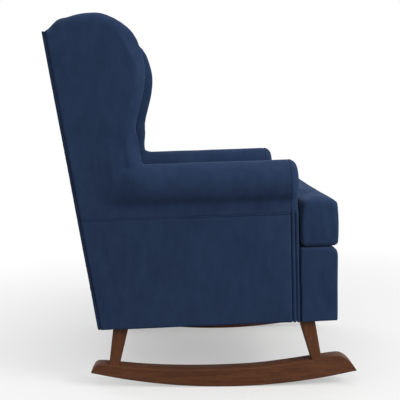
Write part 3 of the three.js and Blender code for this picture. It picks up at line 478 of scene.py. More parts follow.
def relax(made: bpy.types.Object, rounds: int, shrink: float = 0.5, grow: float = -0.53) -> None:
    """Smooths a mesh without shrinking it, by pulling corners in and out in turn.

    Args:
        made: The object whose mesh is smoothed.
        rounds: How many times both passes run.
        shrink: Share of the way to the neighbours' middle in the first pass.
        grow: The same for the second pass, below zero.
    """
    mesh = made.data
    edges = np.empty(len(mesh.edges) * 2, dtype=np.int64)
    mesh.edges.foreach_get("vertices", edges)
    first, second = edges.reshape(-1, 2).T
    count = len(mesh.vertices)
    links = np.bincount(first, minlength=count) + np.bincount(second, minlength=count)
    corners = corner_array(mesh)
    for _ in range(rounds):
        for share in (shrink, grow):
            total = np.zeros_like(corners)
            for axis in range(3):
                total[:, axis] = np.bincount(first, weights=corners[second, axis], minlength=count)
                total[:, axis] += np.bincount(second, weights=corners[first, axis], minlength=count)
            corners += share * (total / links[:, None] - corners)
    move_corners(mesh, corners)


def press_crease(made: bpy.types.Object, path: Sequence[Vector], depth: float, width: float,
                 fades: bool = True) -> None:
    """Presses a sewn crease into a surface along a path.

    Args:
        made: The object to press.
        path: Closely spaced points on or near the surface.
        depth: How deep the crease is.
        width: Distance at which it has faded to a third.
        fades: True where it dies away at both ends of the path.
    """
    tree = point_tree(path)
    corners, normals = corner_array(made.data), corner_array(made.data, "normal")
    for number, corner in enumerate(corners):
        _, place, distance = tree.find(corner)
        if distance < 3 * width:
            fade = min(place, len(path) - 1 - place) / (CREASE_END * len(path)) if fades else 1.0
            corner -= normals[number] * depth * math.exp(-((distance / width) ** 2)) * min(fade, 1.0)
    move_corners(made.data, corners)


def ruffle(made: bpy.types.Object, amount: float, scale: float, seed: float) -> None:
    """Moves a surface in and out a little, as cloth over padding lies.

    Args:
        made: The object to change.
        amount: Largest movement.
        scale: Ups and downs in a metre.
        seed: Where in the pattern this piece lies.
    """
    corners, normals = corner_array(made.data), corner_array(made.data, "normal")
    for number, corner in enumerate(corners):
        wave = noise.noise(Vector(corner) * scale + Vector((seed, -seed, seed / 2)))
        corner += normals[number] * amount * wave
    move_corners(made.data, corners)


def on_surface(made: bpy.types.Object, path: Iterable[Vector], lift: float = 0.0) -> list[Vector]:
    """Nearest points of a surface to a path.

    Args:
        made: The object with the surface.
        path: The points to start from.
        lift: How far the found points are moved along the surface's normals.

    Returns:
        One point for each of the path's.
    """
    tree = BVHTree.FromObject(made, bpy.context.evaluated_depsgraph_get())
    found = []
    for point in path:
        place, normal, _, _ = tree.find_nearest(point)
        found.append(place + normal * lift)
    return found


def hug(made: bpy.types.Object, node: str, shares: np.ndarray | float = 1.0) -> None:
    """Draws a smoothed mesh back onto its CAD solid, so that its edges stay crisp.

    Args:
        made: The mesh to move.
        node: The CAD node whose surface it goes to.
        shares: The share of the way that each corner goes.
    """
    shell = copied_node(node, "shell")
    tree = BVHTree.FromObject(shell, bpy.context.evaluated_depsgraph_get())
    corners = corner_array(made.data)
    nearest = np.array([tree.find_nearest(Vector(corner))[0] for corner in corners])
    move_corners(made.data, corners + (nearest - corners) * np.reshape(shares, (-1, 1)))
    bpy.data.objects.remove(shell)


def padded_copy(node: str, name: str, voxel: float, rounds: int) -> bpy.types.Object:
    """Soft copy of a CAD solid: remeshed evenly and smoothed.

    Args:
        node: The CAD node to copy.
        name: Name of the new object.
        voxel: Size of the new mesh's cells.
        rounds: How much it is smoothed.

    Returns:
        The new object, with even faces.
    """
    made = copied_node(node, name)
    remesh = made.modifiers.new("even", "REMESH")
    remesh.mode = "VOXEL"
    remesh.voxel_size = voxel
    remesh.use_smooth_shade = True
    settle_modifiers(made)
    relax(made, rounds)
    return made


def add_node(tree: bpy.types.NodeTree, kind: str, settings: dict | None = None,
             inputs: dict | None = None) -> bpy.types.Node:
    """Adds a node, sets it up, then fills or links its sockets.

    Args:
        tree: The tree that gets the node.
        kind: The node's type.
        settings: Its own settings by name.
        inputs: Values, sockets or Numbers by socket name or number.

    Returns:
        The new node.
    """
    made = tree.nodes.new(kind)
    for key, value in (settings or {}).items():
        setattr(made, key, value)
    for key, value in (inputs or {}).items():
        value = value.socket if isinstance(value, Number) else value
        if isinstance(value, bpy.types.NodeSocket):
            tree.links.new(value, made.inputs[key])
        else:
            made.inputs[key].default_value = value
    return made


class NodeTree:
    """Geometry Nodes tree made in code, with named inputs and one line of geometry."""

    def __init__(self, name: str) -> None:
        """Starts an empty tree with a geometry input and output.

        Args:
            name: The tree's name.
        """
        self.tree = bpy.data.node_groups.new(name, "GeometryNodeTree")
        self.tree.interface.new_socket("Path", in_out="INPUT", socket_type="NodeSocketGeometry")
        self.tree.interface.new_socket("Mesh", in_out="OUTPUT", socket_type="NodeSocketGeometry")
        self.start = self.tree.nodes.new("NodeGroupInput")
        self.end = self.tree.nodes.new("NodeGroupOutput")
        self.sockets: dict[str, str] = {}

    def size(self, name: str, value: float | None, kind: str = "NodeSocketFloat") -> bpy.types.NodeSocket:
        """Adds a named input.

        Args:
            name: What the input is called.
            value: Its default.
            kind: Its socket type.

        Returns:
            The socket to link from.
        """
        made = self.tree.interface.new_socket(name, in_out="INPUT", socket_type=kind)
        made.default_value = value
        self.sockets[name] = made.identifier
        return self.start.outputs[name]

    def node(self, kind: str, settings: dict | None = None, inputs: dict | None = None) -> bpy.types.Node:
        """Adds a node to the tree, as add_node does."""
        return add_node(self.tree, kind, settings, inputs)

    def finish(self, geometry: bpy.types.NodeSocket) -> None:
        """Ends the tree in smooth shading, Realize Instances and Set Material.

        Args:
            geometry: The finished geometry.
        """
        material = self.size("Material", None, "NodeSocketMaterial")
        smooth = self.node("GeometryNodeSetShadeSmooth", inputs={0: geometry})
        real = self.node("GeometryNodeRealizeInstances", inputs={0: smooth.outputs[0]})
        dressed = self.node("GeometryNodeSetMaterial", inputs={0: real.outputs[0], "Material": material})
        self.tree.links.new(dressed.outputs[0], self.end.inputs[0])

    def mesh(self, name: str, base: bpy.types.Object, values: dict[str, object]) -> bpy.types.Object:
        """Runs the tree on an object and keeps the result as a plain mesh.

        Args:
            name: Name of the new object.
            base: The object that holds the path; it is removed.
            values: The inputs by name.

        Returns:
            The new object, without a modifier.
        """
        modifier = base.modifiers.new("tree", "NODES")
        modifier.node_group = self.tree
        for key, value in values.items():
            modifier[self.sockets[key]] = value
        base.update_tag()
        graph = bpy.context.evaluated_depsgraph_get()
        mesh = bpy.data.meshes.new_from_object(base.evaluated_get(graph))
        base.modifiers.clear()
        bpy.data.objects.remove(base)
        mesh.name = name
        return add_object(name, mesh)


def path_object(paths: Iterable[tuple[Sequence[Vector], bool]]) -> bpy.types.Object:
    """Object of loose edges along paths.

    Args:
        paths: Each path's points, with True where it closes.

    Returns:
        The new object.
    """
    points: list[Vector] = []
    edges: list[tuple[int, int]] = []
    for path, closed in paths:
        first = len(points)
        points.extend(path)
        edges.extend((place, place + 1) for place in range(first, len(points) - 1))
        if closed:
            edges.append((len(points) - 1, first))
    mesh = bpy.data.meshes.new("path")
    mesh.from_pydata([tuple(point) for point in points], edges, [])
    return add_object("path", mesh)


class WeltTree(NodeTree):
    """Round cord or sewn ridge that follows a path."""

    def __init__(self) -> None:
        """Builds the tree: mesh edges to a curve, then a round section along it."""
        super().__init__("welt")
        radius = self.size("Radius", 0.0015)
        sides = self.size("Sides", 8, "NodeSocketInt")
        curve = self.node("GeometryNodeMeshToCurve", inputs={0: self.start.outputs["Path"]})
        section = self.node("GeometryNodeCurvePrimitiveCircle", inputs={"Resolution": sides, "Radius": radius})
        tube = self.node(
            "GeometryNodeCurveToMesh",
            inputs={"Curve": curve.outputs[0], "Profile Curve": section.outputs[0], "Fill Caps": True},
        )
        self.finish(tube.outputs[0])

    def along(self, name: str, paths: Iterable[tuple[Sequence[Vector], bool]], radius: float,
              material: bpy.types.Material, sides: int = 8) -> bpy.types.Object:
        """Makes the cord along paths.

        Args:
            name: Name of the new object.
            paths: Each path's points, with True where it closes.
            radius: The cord's radius.
            material: Its material.
            sides: Corners of its section.

        Returns:
            The cord's object.
        """
        values = {"Radius": radius, "Sides": sides, "Material": material}
        made = self.mesh(name, path_object(paths), values)
        face_outwards(made)
        return made


class StapleTree(NodeTree):
    """Flat wire staples, evenly spaced along a path and a little askew."""

    def __init__(self) -> None:
        """Builds the tree: points along the path, a staple on each."""
        super().__init__("staples")
        spacing = self.size("Spacing", 0.045)
        length = self.size("Length", 0.011)
        thick = self.size("Thickness", 0.0009)
        wander = self.size("Wander", 0.18)
        seed = self.size("Seed", 5, "NodeSocketInt")
        curve = self.node("GeometryNodeMeshToCurve", inputs={0: self.start.outputs["Path"]})
        places = self.node(
            "GeometryNodeCurveToPoints", {"mode": "LENGTH"}, {"Curve": curve.outputs[0], "Length": spacing}
        )
        wire = self.node("GeometryNodeMeshCube", inputs={"Size": (1.0, 1.0, 1.0)})
        size = self.node("ShaderNodeCombineXYZ", inputs={0: thick, 1: thick, 2: length})
        low = self.node("ShaderNodeMath", {"operation": "MULTIPLY"}, {0: wander, 1: -1.0})
        turn = self.node(
            "FunctionNodeRandomValue", {"data_type": "FLOAT"}, {"Seed": seed, 2: low.outputs[0], 3: wander}
        )
        lean = self.node("ShaderNodeCombineXYZ", inputs={0: turn.outputs[1]})
        rotation = self.node(
            "FunctionNodeRotateRotation", {"rotation_space": "LOCAL"},
            {0: places.outputs["Rotation"], 1: lean.outputs[0]},
        )
        copies = self.node(
            "GeometryNodeInstanceOnPoints",
            inputs={
                "Points": places.outputs["Points"], "Instance": wire.outputs["Mesh"],
                "Rotation": rotation.outputs[0], "Scale": size.outputs[0],
            },
        )
        self.finish(copies.outputs[0])


class Number:
    """A number that a socket gives, with the usual sums on it."""

    def __init__(self, shader: Shader, socket: bpy.types.NodeSocket) -> None:
        """Wraps a socket of a shader."""
        self.shader = shader
        self.socket = socket

    def _math(self, operation: str, first: Number | float, second: Number | float) -> Number:
        """Adds a Math node on two numbers."""
        made = self.shader.node("ShaderNodeMath", {"operation": operation}, {0: first, 1: second})
        return Number(self.shader, made.outputs[0])

    def __add__(self, other: Number | float) -> Number:
        """Sum."""
        return self._math("ADD", self, other)

    __radd__ = __add__

    def __sub__(self, other: Number | float) -> Number:
        """Difference."""
        return self._math("SUBTRACT", self, other)

    def __rsub__(self, other: Number | float) -> Number:
        """Difference, the other way round."""
        return self._math("SUBTRACT", other, self)

    def __mul__(self, other: Number | float) -> Number:
        """Product."""
        return self._math("MULTIPLY", self, other)

    __rmul__ = __mul__

    def __pow__(self, other: Number | float) -> Number:
        """Power."""
        return self._math("POWER", self, other)

    def wave(self) -> Number:
        """Sine."""
        return self._math("SINE", self, 0.0)

    def clamped(self) -> Number:
        """The same number kept between 0 and 1."""
        return self._math("MINIMUM", self._math("MAXIMUM", self, 0.0), 1.0)


class Shader:
    """One material built in code around a Principled shader."""

    def __init__(self, name: str) -> None:
        """Starts a material with only its output and a Principled shader.

        Args:
            name: The material's name.
        """
        self.material = bpy.data.materials.new(name)
        self.material.use_nodes = True
        self.tree = self.material.node_tree
        self.tree.nodes.clear()
        self.output = self.tree.nodes.new("ShaderNodeOutputMaterial")
        self.surface = self.tree.nodes.new("ShaderNodeBsdfPrincipled")
        self.tree.links.new(self.surface.outputs[0], self.output.inputs["Surface"])
        self.coordinates = self.tree.nodes.new("ShaderNodeTexCoord")

    def node(self, kind: str, settings: dict | None = None, inputs: dict | None = None) -> bpy.types.Node:
        """Adds a node to the material, as add_node does."""
        return add_node(self.tree, kind, settings, inputs)

    def axes(self) -> tuple[Number, Number, Number]:
        """Object coordinates as three numbers."""
        split = self.node("ShaderNodeSeparateXYZ", inputs={0: self.coordinates.outputs["Object"]})
        return Number(self, split.outputs[0]), Number(self, split.outputs[1]), Number(self, split.outputs[2])

    def place(self, scale: Sequence[float] = (1, 1, 1), offset: Sequence[float] = (0, 0, 0)) -> bpy.types.NodeSocket:
        """Object coordinates, stretched and moved.

        Args:
            scale: The stretch along X, Y and Z.
            offset: How far they move along X, Y and Z.

        Returns:
            The socket of the new coordinates.
        """
        inputs = {"Vector": self.coordinates.outputs["Object"], "Scale": tuple(scale), "Location": tuple(offset)}
        return self.node("ShaderNodeMapping", inputs=inputs).outputs[0]

    def cloud(self, vector: bpy.types.NodeSocket, scale: float, detail: float = 2.0, rough: float = 0.5) -> Number:
        """Noise from 0 to 1 around a half.

        Args:
            vector: The coordinates.
            scale: Its ups and downs in a metre.
            detail: How many finer layers it has.
            rough: How strong they are.

        Returns:
            The noise.
        """
        inputs = {"Vector": vector, "Scale": scale, "Detail": detail, "Roughness": rough}
        return Number(self, self.node("ShaderNodeTexNoise", inputs=inputs).outputs[0])

    def ramp(self, value: Number, stops: Sequence[Point2]) -> Number:
        """Sends a number through grey stops.

        Args:
            value: The number.
            stops: The place and level of each stop.

        Returns:
            The level.
        """
        made = self.node("ShaderNodeValToRGB", inputs={0: value})
        for element, (place, level) in zip(made.color_ramp.elements, stops):
            element.position = place
            element.color = (level, level, level, 1.0)
        return Number(self, made.outputs[0])

    def blend(self, share: Number | float, first: Colour | bpy.types.NodeSocket,
              second: Colour | bpy.types.NodeSocket) -> bpy.types.NodeSocket:
        """Mixes two colours.

        Args:
            share: How much of the second there is.
            first: A colour, or the socket of one.
            second: Another.

        Returns:
            The socket of the mixed colour.
        """
        made = self.node("ShaderNodeMix", {"data_type": "RGBA"}, {"Factor": share})
        for name, colour in (("A", first), ("B", second)):
            socket = next(one for one in made.inputs if one.name == name and one.type == "RGBA")
            if isinstance(colour, bpy.types.NodeSocket):
                self.tree.links.new(colour, socket)
            else:
                socket.default_value = (*colour, 1.0)
        return next(one for one in made.outputs if one.type == "RGBA")

    def bump(self, height: Number, strength: float, distance: float) -> None:
        """Feeds a height into the shader's Normal.

        Args:
            height: The height, from 0 to 1.
            strength: How strongly it shows.
            distance: The height of 1 in metres.
        """
        made = self.node("ShaderNodeBump", inputs={"Height": height, "Strength": strength, "Distance": distance})
        self.tree.links.new(made.outputs[0], self.surface.inputs["Normal"])

    def dress(self, colour: bpy.types.NodeSocket, roughness: Number | float, **fixed: object) -> bpy.types.Material:
        """Sets the shader's colour, roughness and fixed sockets.

        Args:
            colour: The base colour's socket.
            roughness: A number or a linked one.
            fixed: Values of other sockets, with _ for a space in their names.

        Returns:
            The finished material.
        """
        self.tree.links.new(colour, self.surface.inputs["Base Color"])
        if isinstance(roughness, Number):
            self.tree.links.new(roughness.socket, self.surface.inputs["Roughness"])
        else:
            self.surface.inputs["Roughness"].default_value = roughness
        for name, value in fixed.items():
            self.surface.inputs[name.replace("_", " ")].default_value = value
        return self.material


class Grain(Enum):
    """The way a piece's wood runs, as its stretch along X, Y and Z."""

    ACROSS = (0.08, 1.0, 1.0)
    ALONG = (1.0, 0.08, 1.0)
    UPRIGHT = (1.0, 1.0, 0.08)


@dataclass(frozen=True)
class Velvet:
    """Short-piled navy velvet with faint mottling and a soft sheen."""

    deep: Colour = (0.0161, 0.0313, 0.0728)
    light: Colour = (0.0234, 0.0428, 0.0950)
    sheen: float = 0.15
    sheen_tint: Colour = (0.34, 0.46, 0.80)

    def material(self, name: str, offset: float = 0.0) -> bpy.types.Material:
        """Builds the velvet.

        Args:
            name: The material's name.
            offset: Moves the mottling, so that pieces differ.

        Returns:
            The material.
        """
        shader = Shader(name)
        here = shader.place(offset=(offset, -offset, offset / 2))
        broad = shader.cloud(here, 9.0, 3.0, 0.55)
        brushed = shader.cloud(shader.place(scale=(1, 1, 0.45), offset=(0, offset, 0)), 46.0, 4.0, 0.6)
        pile = shader.cloud(here, 900.0, 2.0, 0.6)
        mottle = shader.ramp(broad * 0.45 + brushed * 0.55, ((0.34, 0.0), (0.66, 1.0)))
        colour = shader.blend((mottle * 0.85 + pile * 0.15).clamped(), self.deep, self.light)
        shader.bump(pile * 0.35 + brushed * 0.65, 0.35, 0.0012)
        return shader.dress(
            colour, 0.95 - mottle * 0.12, Sheen_Weight=self.sheen, Sheen_Roughness=0.45,
            Sheen_Tint=(*self.sheen_tint, 1.0), Specular_IOR_Level=0.07,
        )


@dataclass(frozen=True)
class Timber:
    """Wood with long fibres, darker bands and fine pores."""

    dark: Colour
    light: Colour
    roughness: float
    coat: float
    bands: float
    depth: float
    gleam: float

    def material(self, name: str, grain: Grain, offset: float = 0.0) -> bpy.types.Material:
        """Builds the wood.

        Args:
            name: The material's name.
            grain: The way the fibres run.
            offset: Moves the pattern, so that pieces differ.

        Returns:
            The material.
        """
        shader = Shader(name)
        along = shader.place(scale=grain.value, offset=(offset, offset * 1.7, -offset))
        bow = shader.cloud(shader.place(offset=(0, offset, offset)), 4.5, 2.0)
        bands = shader.cloud(along, self.bands, 3.0, 0.6)
        fibres = shader.cloud(along, self.bands * 6, 4.0, 0.7)
        pores = shader.ramp(shader.cloud(along, self.bands * 22, 2.0, 0.6), ((0.52, 0.0), (0.72, 1.0)))
        figure = shader.ramp(bands * 0.45 + fibres * 0.45 + bow * 0.1, ((0.38, 0.0), (0.60, 1.0)))
        colour = shader.blend(figure, self.dark, self.light)
        colour = shader.blend(pores * 0.35, colour, tuple(share * 0.55 for share in self.dark))
        shader.bump(figure * 0.4 - pores * 0.6 + fibres * 0.3, self.depth, 0.0006)
        return shader.dress(
            colour, self.roughness + pores * 0.12, Coat_Weight=self.coat, Coat_Roughness=0.3,
            Specular_IOR_Level=self.gleam,
        )


@dataclass(frozen=True)
class Weave:
    """Woven or felted cloth with crossing threads."""

    dark: Colour
    light: Colour
    threads: float
    felted: float
    stripe: Colour | None = None
    stripe_gap: float = 0.025

    def material(self, name: str) -> bpy.types.Material:
        """Builds the cloth.

        Args:
            name: The material's name.

        Returns:
            The material.
        """
        shader = Shader(name)
        across, along, up = shader.axes()
        warp = (across * self.threads).wave() * 0.5 + 0.5
        weft = ((along + up) * self.threads).wave() * 0.5 + 0.5
        fuzz = shader.cloud(shader.place(), 420.0, 3.0, 0.65)
        tone = shader.cloud(shader.place(), 18.0, 3.0, 0.6)
        weave = warp * weft * (1 - self.felted) + fuzz * self.felted
        colour = shader.blend((weave * 0.7 + tone * 0.3).clamped(), self.dark, self.light)
        if self.stripe is not None:
            mark = shader.ramp((across * (math.tau / self.stripe_gap)).wave() * 0.5 + 0.5, ((0.9, 0.0), (0.94, 1.0)))
            colour = shader.blend(mark * 0.8, colour, self.stripe)
        shader.bump(weave, 0.5, 0.0006)
        return shader.dress(colour, 0.96 - weave * 0.1)


@dataclass(frozen=True)
class Steel:
    """Zinc-plated steel with faint spangle and scratches."""

    dark: Colour = (0.30, 0.31, 0.33)
    light: Colour = (0.52, 0.53, 0.55)

    def material(self, name: str) -> bpy.types.Material:
        """Builds the metal.

        Args:
            name: The material's name.

        Returns:
            The material.
        """
        shader = Shader(name)
        spangle = shader.cloud(shader.place(), 260.0, 2.0)
        scratches = shader.cloud(shader.place(scale=(1, 0.06, 1)), 1400.0, 2.0)
        colour = shader.blend(spangle, self.dark, self.light)
        shader.bump(scratches, 0.12, 0.0002)
        return shader.dress(colour, 0.3 + spangle * 0.2, Metallic=1.0)


@dataclass(frozen=True)
class Finishes:
    """Every finish of the chair."""

    velvet: Velvet = Velvet()
    # Darker copy of the velvet for the cord in the groove between each arm facing and the front border: painted shade
    # of that groove, the cloth itself is the same navy.
    seam: Velvet = Velvet(deep=(0.0105, 0.0195, 0.0450), light=(0.0150, 0.0270, 0.0610), sheen=0.1)
    walnut: Timber = Timber((0.0665, 0.0235, 0.0111), (0.137, 0.0518, 0.0237), 0.50, 0.03, 38.0, 0.25, 0.12)
    pine: Timber = Timber((0.40, 0.235, 0.10), (0.66, 0.47, 0.25), 0.72, 0.0, 26.0, 0.4, 0.4)
    webbing: Weave = Weave((0.018, 0.015, 0.013), (0.075, 0.062, 0.05), 2600.0, 0.15, (0.25, 0.10, 0.05))
    lining: Weave = Weave((0.004, 0.0042, 0.005), (0.018, 0.019, 0.021), 3800.0, 0.6)
    steel: Steel = Steel()


FINISHES = Finishes()


def dressed(made: bpy.types.Object, material: bpy.types.Material, slot: str, nodes: Sequence[str] = (),
            body: str = CHAIR) -> bpy.types.Object:
    """Gives a piece its material and body, and hides the CAD nodes it stands for.

    Args:
        made: The finished piece.
        material: Its material.
        slot: Not used.
        nodes: The CAD nodes that it replaces.
        body: The body that it rides on.

    Returns:
        The same piece.
    """
    made.data.materials.clear()
    made.data.materials.append(material)
    if nodes:
        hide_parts(*nodes)
    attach(made, body)
    log.info("%s: %d faces", made.name, len(made.data.polygons))
    return made


def repaint(node: str, material: bpy.types.Material) -> None:
    """Gives a CAD node that stays in view a better material.

    Args:
        node: The node.
        material: Its new material.
    """
    for slot in bpy.data.objects[node].material_slots:
        slot.material = material
    log.info("%s: repainted", node)


@dataclass(frozen=True)
class Lamp:
    """Soft square lamp that faces the chair."""

    name: str
    place: tuple[float, float, float]
    size: float
    power: float

    def build(self, target: Vector) -> None:
        """Hangs the lamp.

        Args:
            target: The place that it faces.
        """
        data = bpy.data.lights.new(self.name, "AREA")
        data.shape = "RECTANGLE"
        data.size = data.size_y = self.size
        data.energy = self.power
        made = add_object(self.name, data)
        made.location = self.place
        made.rotation_euler = (target - Vector(self.place)).to_track_quat("-Z", "Y").to_euler()


@dataclass
class Studio:
    """Camera, soft lamps, pale floor and white surroundings."""

    eye: tuple[float, float, float] = (-2.3353, 0.0699, 0.7717)
    pitch: float = math.radians(6.963)
    yaw: float = math.radians(1.631)
    lens: float = 68.3
    sensor: float = 36.0
    lamps: tuple[Lamp, ...] = (
        Lamp("key_panel", (-1.7, -2.1, 3.0), 2.2, 28.0),
        Lamp("top_panel", (0.2, 0.3, 3.4), 2.8, 27.0),
        Lamp("rear_panel", (1.9, 2.9, 2.2), 2.2, 34.0),
        Lamp("front_panel", (-2.1, -3.0, 2.3), 1.8, 92.0),
        Lamp("side_panel_lamp", (-3.3, 0.8, 3.0), 2.0, 27.0),
    )
    lamp_target: tuple[float, float, float] = (0, 0, 0.45)
    fill_colour: Colour = (0.96, 0.98, 1.0)
    fill: float = 0.27
    floor_reach: float = 30.0
    floor_middle: Point2 = (0.2, -0.25)
    floor_fade: Point2 = (0.48, 1.68)
    floor_lift: float = 0.42
    floor_seen: Colour = (0.88, 0.875, 0.865)
    floor_bounce: Colour = (0.42, 0.42, 0.42)

    def build(self) -> None:
        """Makes the whole studio."""
        self._camera()
        self._world()
        self._floor()
        for lamp in self.lamps:
            lamp.build(Vector(self.lamp_target))

    def _camera(self) -> None:
        """Camera at the photograph's place and angle."""
        data = bpy.data.cameras.new("camera")
        data.lens = self.lens
        data.sensor_width = self.sensor
        data.sensor_fit = "HORIZONTAL"
        data.clip_end = 100
        made = add_object("camera", data)
        made.location = self.eye
        flat = math.cos(self.pitch)
        ahead = Vector((flat * math.cos(self.yaw), -flat * math.sin(self.yaw), -math.sin(self.pitch)))
        made.rotation_euler = ahead.to_track_quat("-Z", "Y").to_euler()
        bpy.context.scene.camera = made

    def _world(self) -> None:
        """White to the camera, a plain soft fill to everything else."""
        scene = bpy.context.scene
        scene.view_settings.view_transform = "Standard"
        scene.world = bpy.data.worlds.new("surroundings")
        scene.world.use_nodes = True
        tree = scene.world.node_tree
        tree.nodes.clear()
        seen = add_node(tree, "ShaderNodeBackground", inputs={"Color": (1, 1, 1, 1)})
        fill = add_node(
            tree, "ShaderNodeBackground", inputs={"Color": (*self.fill_colour, 1), "Strength": self.fill}
        )
        share = self._any_ray(tree)
        mix = add_node(tree, "ShaderNodeMixShader", inputs={0: share, 1: fill.outputs[0], 2: seen.outputs[0]})
        add_node(tree, "ShaderNodeOutputWorld", inputs={0: mix.outputs[0]})

    @staticmethod
    def _any_ray(tree: bpy.types.NodeTree) -> bpy.types.NodeSocket:
        """Adds nodes that tell whether a camera, glossy or transmission ray looks.

        Args:
            tree: The tree that gets them.

        Returns:
            The socket of a number, 1 for such a ray.
        """
        path = add_node(tree, "ShaderNodeLightPath")
        most = path.outputs["Is Camera Ray"]
        for name in ("Is Glossy Ray", "Is Transmission Ray"):
            larger = add_node(tree, "ShaderNodeMath", {"operation": "MAXIMUM"}, {0: most, 1: path.outputs[name]})
            most = larger.outputs[0]
        return most

    def _floor(self) -> None:
        """Pale floor that turns white towards the distance and keeps the chair's shadow."""
        reach = self.floor_reach
        corners = [(-reach, -reach, 0), (reach, -reach, 0), (reach, reach, 0), (-reach, reach, 0)]
        made = mesh_object("floor", corners, [(0, 1, 2, 3)])
        shader = Shader("floor")
        across, along, _ = shader.axes()
        distance = ((across - self.floor_middle[0]) ** 2 + (along - self.floor_middle[1]) ** 2) ** 0.5
        share = (distance - self.floor_fade[0]) * (1 / (self.floor_fade[1] - self.floor_fade[0]))
        seen = Number(shader, self._any_ray(shader.tree))
        glow = shader.node("ShaderNodeEmission", inputs={"Color": (1, 1, 1, 1), "Strength": 1.0})
        lift = seen * (share.clamped() * (1 - self.floor_lift) + self.floor_lift)
        shader.dress(shader.blend(seen, self.floor_bounce, self.floor_seen), 0.9, Specular_IOR_Level=0.1)
        mix = shader.node("ShaderNodeMixShader", inputs={0: lift, 1: shader.surface.outputs[0], 2: glow.outputs[0]})
        shader.tree.links.new(mix.outputs[0], shader.output.inputs["Surface"])
        made.data.materials.append(shader.material)


@dataclass(frozen=True)
class Padding:
    """How a soft piece's mesh is made: its cells, smoothing and ruffle."""

    voxel: float
    rounds: int
    ruffle: float = 0.0
    waves: float = 0.0

    def copy(self, node: str, name: str) -> bpy.types.Object:
        """Padded copy of a CAD node."""
        return padded_copy(node, name, self.voxel, self.rounds)

    def finish(self, made: bpy.types.Object, nodes: Sequence[str], material: bpy.types.Material, seed: float,
               slot: str = "velvet", body: str = CHAIR) -> None:
        """Ruffles and dresses a piece.

        Args:
            made: The piece.
            nodes: The CAD nodes that it replaces.
            material: Its material.
            seed: Where in the ruffle's pattern it lies.
            slot: Handed on to dressed.
            body: The body that it rides on.
        """
        if self.ruffle:
            ruffle(made, self.ruffle, self.waves, seed)
        dressed(made, material, slot, nodes, body)


@dataclass
class Rockers:
    """Two bowed walnut rockers with the legs that stand on them."""

    radius: float = 1.62
    half_length: float = 0.369
    middle: float = -0.0561
    outer: float = 0.306
    thickness: float = 0.046
    height: float = 0.0535
    rounding: float = 0.0035
    rows: int = 5
    spacing: float = 0.004
    end_ease: float = 0.02

    def underside(self, along: float) -> float:
        """Height of the bow's underside above the floor."""
        return self.radius - math.sqrt(self.radius**2 - along**2)

    def outline(self) -> list[Point2]:
        """Side view of a rocker: top edge from the front, then the underside back again.

        Returns:
            Distances behind its middle and heights.
        """
        shares = [
            (-1, 0.03), (-0.95, 0.57), (-0.905, 0.87), (-0.855, 1.01), (-0.72, 1.06), (-0.5, 1.04), (-0.25, 0.985),
            (0, 0.95), (0.3, 0.87), (0.6, 0.75), (0.84, 0.64), (0.925, 0.565), (0.97, 0.43), (1, 0.06),
        ]
        top = []
        for share, rise in smooth_line(shares, 200):
            along = share * self.half_length
            top.append((along, self.underside(along) + self.height * rise))
        reach = np.linspace(self.half_length, -self.half_length, 150)
        return [*top, *((float(along), self.underside(float(along))) for along in reach)]

    def build(self) -> None:
        """Makes both rockers and repaints the legs."""
        outline = resampled(self.outline(), self.spacing, closed=True)
        shares = [min(1.0, (self.half_length - abs(along)) / self.end_ease) for along, _ in outline]
        for side, sign in SIDES:
            rings = []
            for across, inset in self._rows():
                ring = inset_outline(outline, inset, shares)
                x = sign * (self.outer - self.thickness + across)
                rings.append([(x, self.middle + along, up) for along, up in ring])
            made = ring_solid(f"walnut_rocker_{side}", rings)
            material = FINISHES.walnut.material(f"rocker_walnut_{side}", Grain.ALONG, 0.31 * sign)
            dressed(made, material, "walnut", [f"rocker_{side}"])
            for end in ("front", "rear"):
                wood = FINISHES.walnut.material(f"leg_walnut_{end}_{side}", Grain.UPRIGHT, 0.17 * sign + len(end))
                repaint(f"{end}_leg_{side}", wood)

    def _rows(self) -> list[Point2]:
        """Rows of a rounded edge on both faces.

        Returns:
            Places through the thickness, each with how far the outline is drawn in there.
        """
        rows = []
        for step in range(self.rows + 1):
            angle = math.pi / 2 * step / self.rows
            rows.append((self.rounding * (1 - math.cos(angle)), self.rounding * (1 - math.sin(angle))))
        return [*rows, *((self.thickness - across, inset) for across, inset in reversed(rows))]


@dataclass
class Fixings:
    """Steel plates, bolts and screws of the legs."""

    def build(self) -> None:
        """Repaints the CAD fixings."""
        steel = FINISHES.steel.material("zinc_steel")
        for side, _ in SIDES:
            for end in ("front", "rear"):
                for piece in ("leg_plate", "hanger_bolt", "rocker_screw"):
                    repaint(f"{end}_{piece}_{side}", steel)


@dataclass
class Woodwork:
    """Pine boards inside the upholstery."""

    across: tuple[str, ...] = ("front_rail", "back_seat_rail", "crest_rail", "lumbar_rail")
    along: tuple[str, ...] = ("side_rail", "arm_rail", "front_box_side")
    upright: tuple[str, ...] = ("arm_post", "back_post", "wing_board", "front_corner_block", "rear_corner_block")

    def build(self) -> None:
        """Repaints the boards with the grain along each."""
        ways = {
            Grain.ACROSS: FINISHES.pine.material("pine_across", Grain.ACROSS),
            Grain.ALONG: FINISHES.pine.material("pine_along", Grain.ALONG, 0.4),
            Grain.UPRIGHT: FINISHES.pine.material("pine_upright", Grain.UPRIGHT, 0.9),
        }
        for node in self.across:
            repaint(node, ways[Grain.ACROSS])
        for names, grain in ((self.along, Grain.ALONG), (self.upright, Grain.UPRIGHT)):
            for name in names:
                for side, _ in SIDES:
                    repaint(f"{name}_{side}", ways[grain])


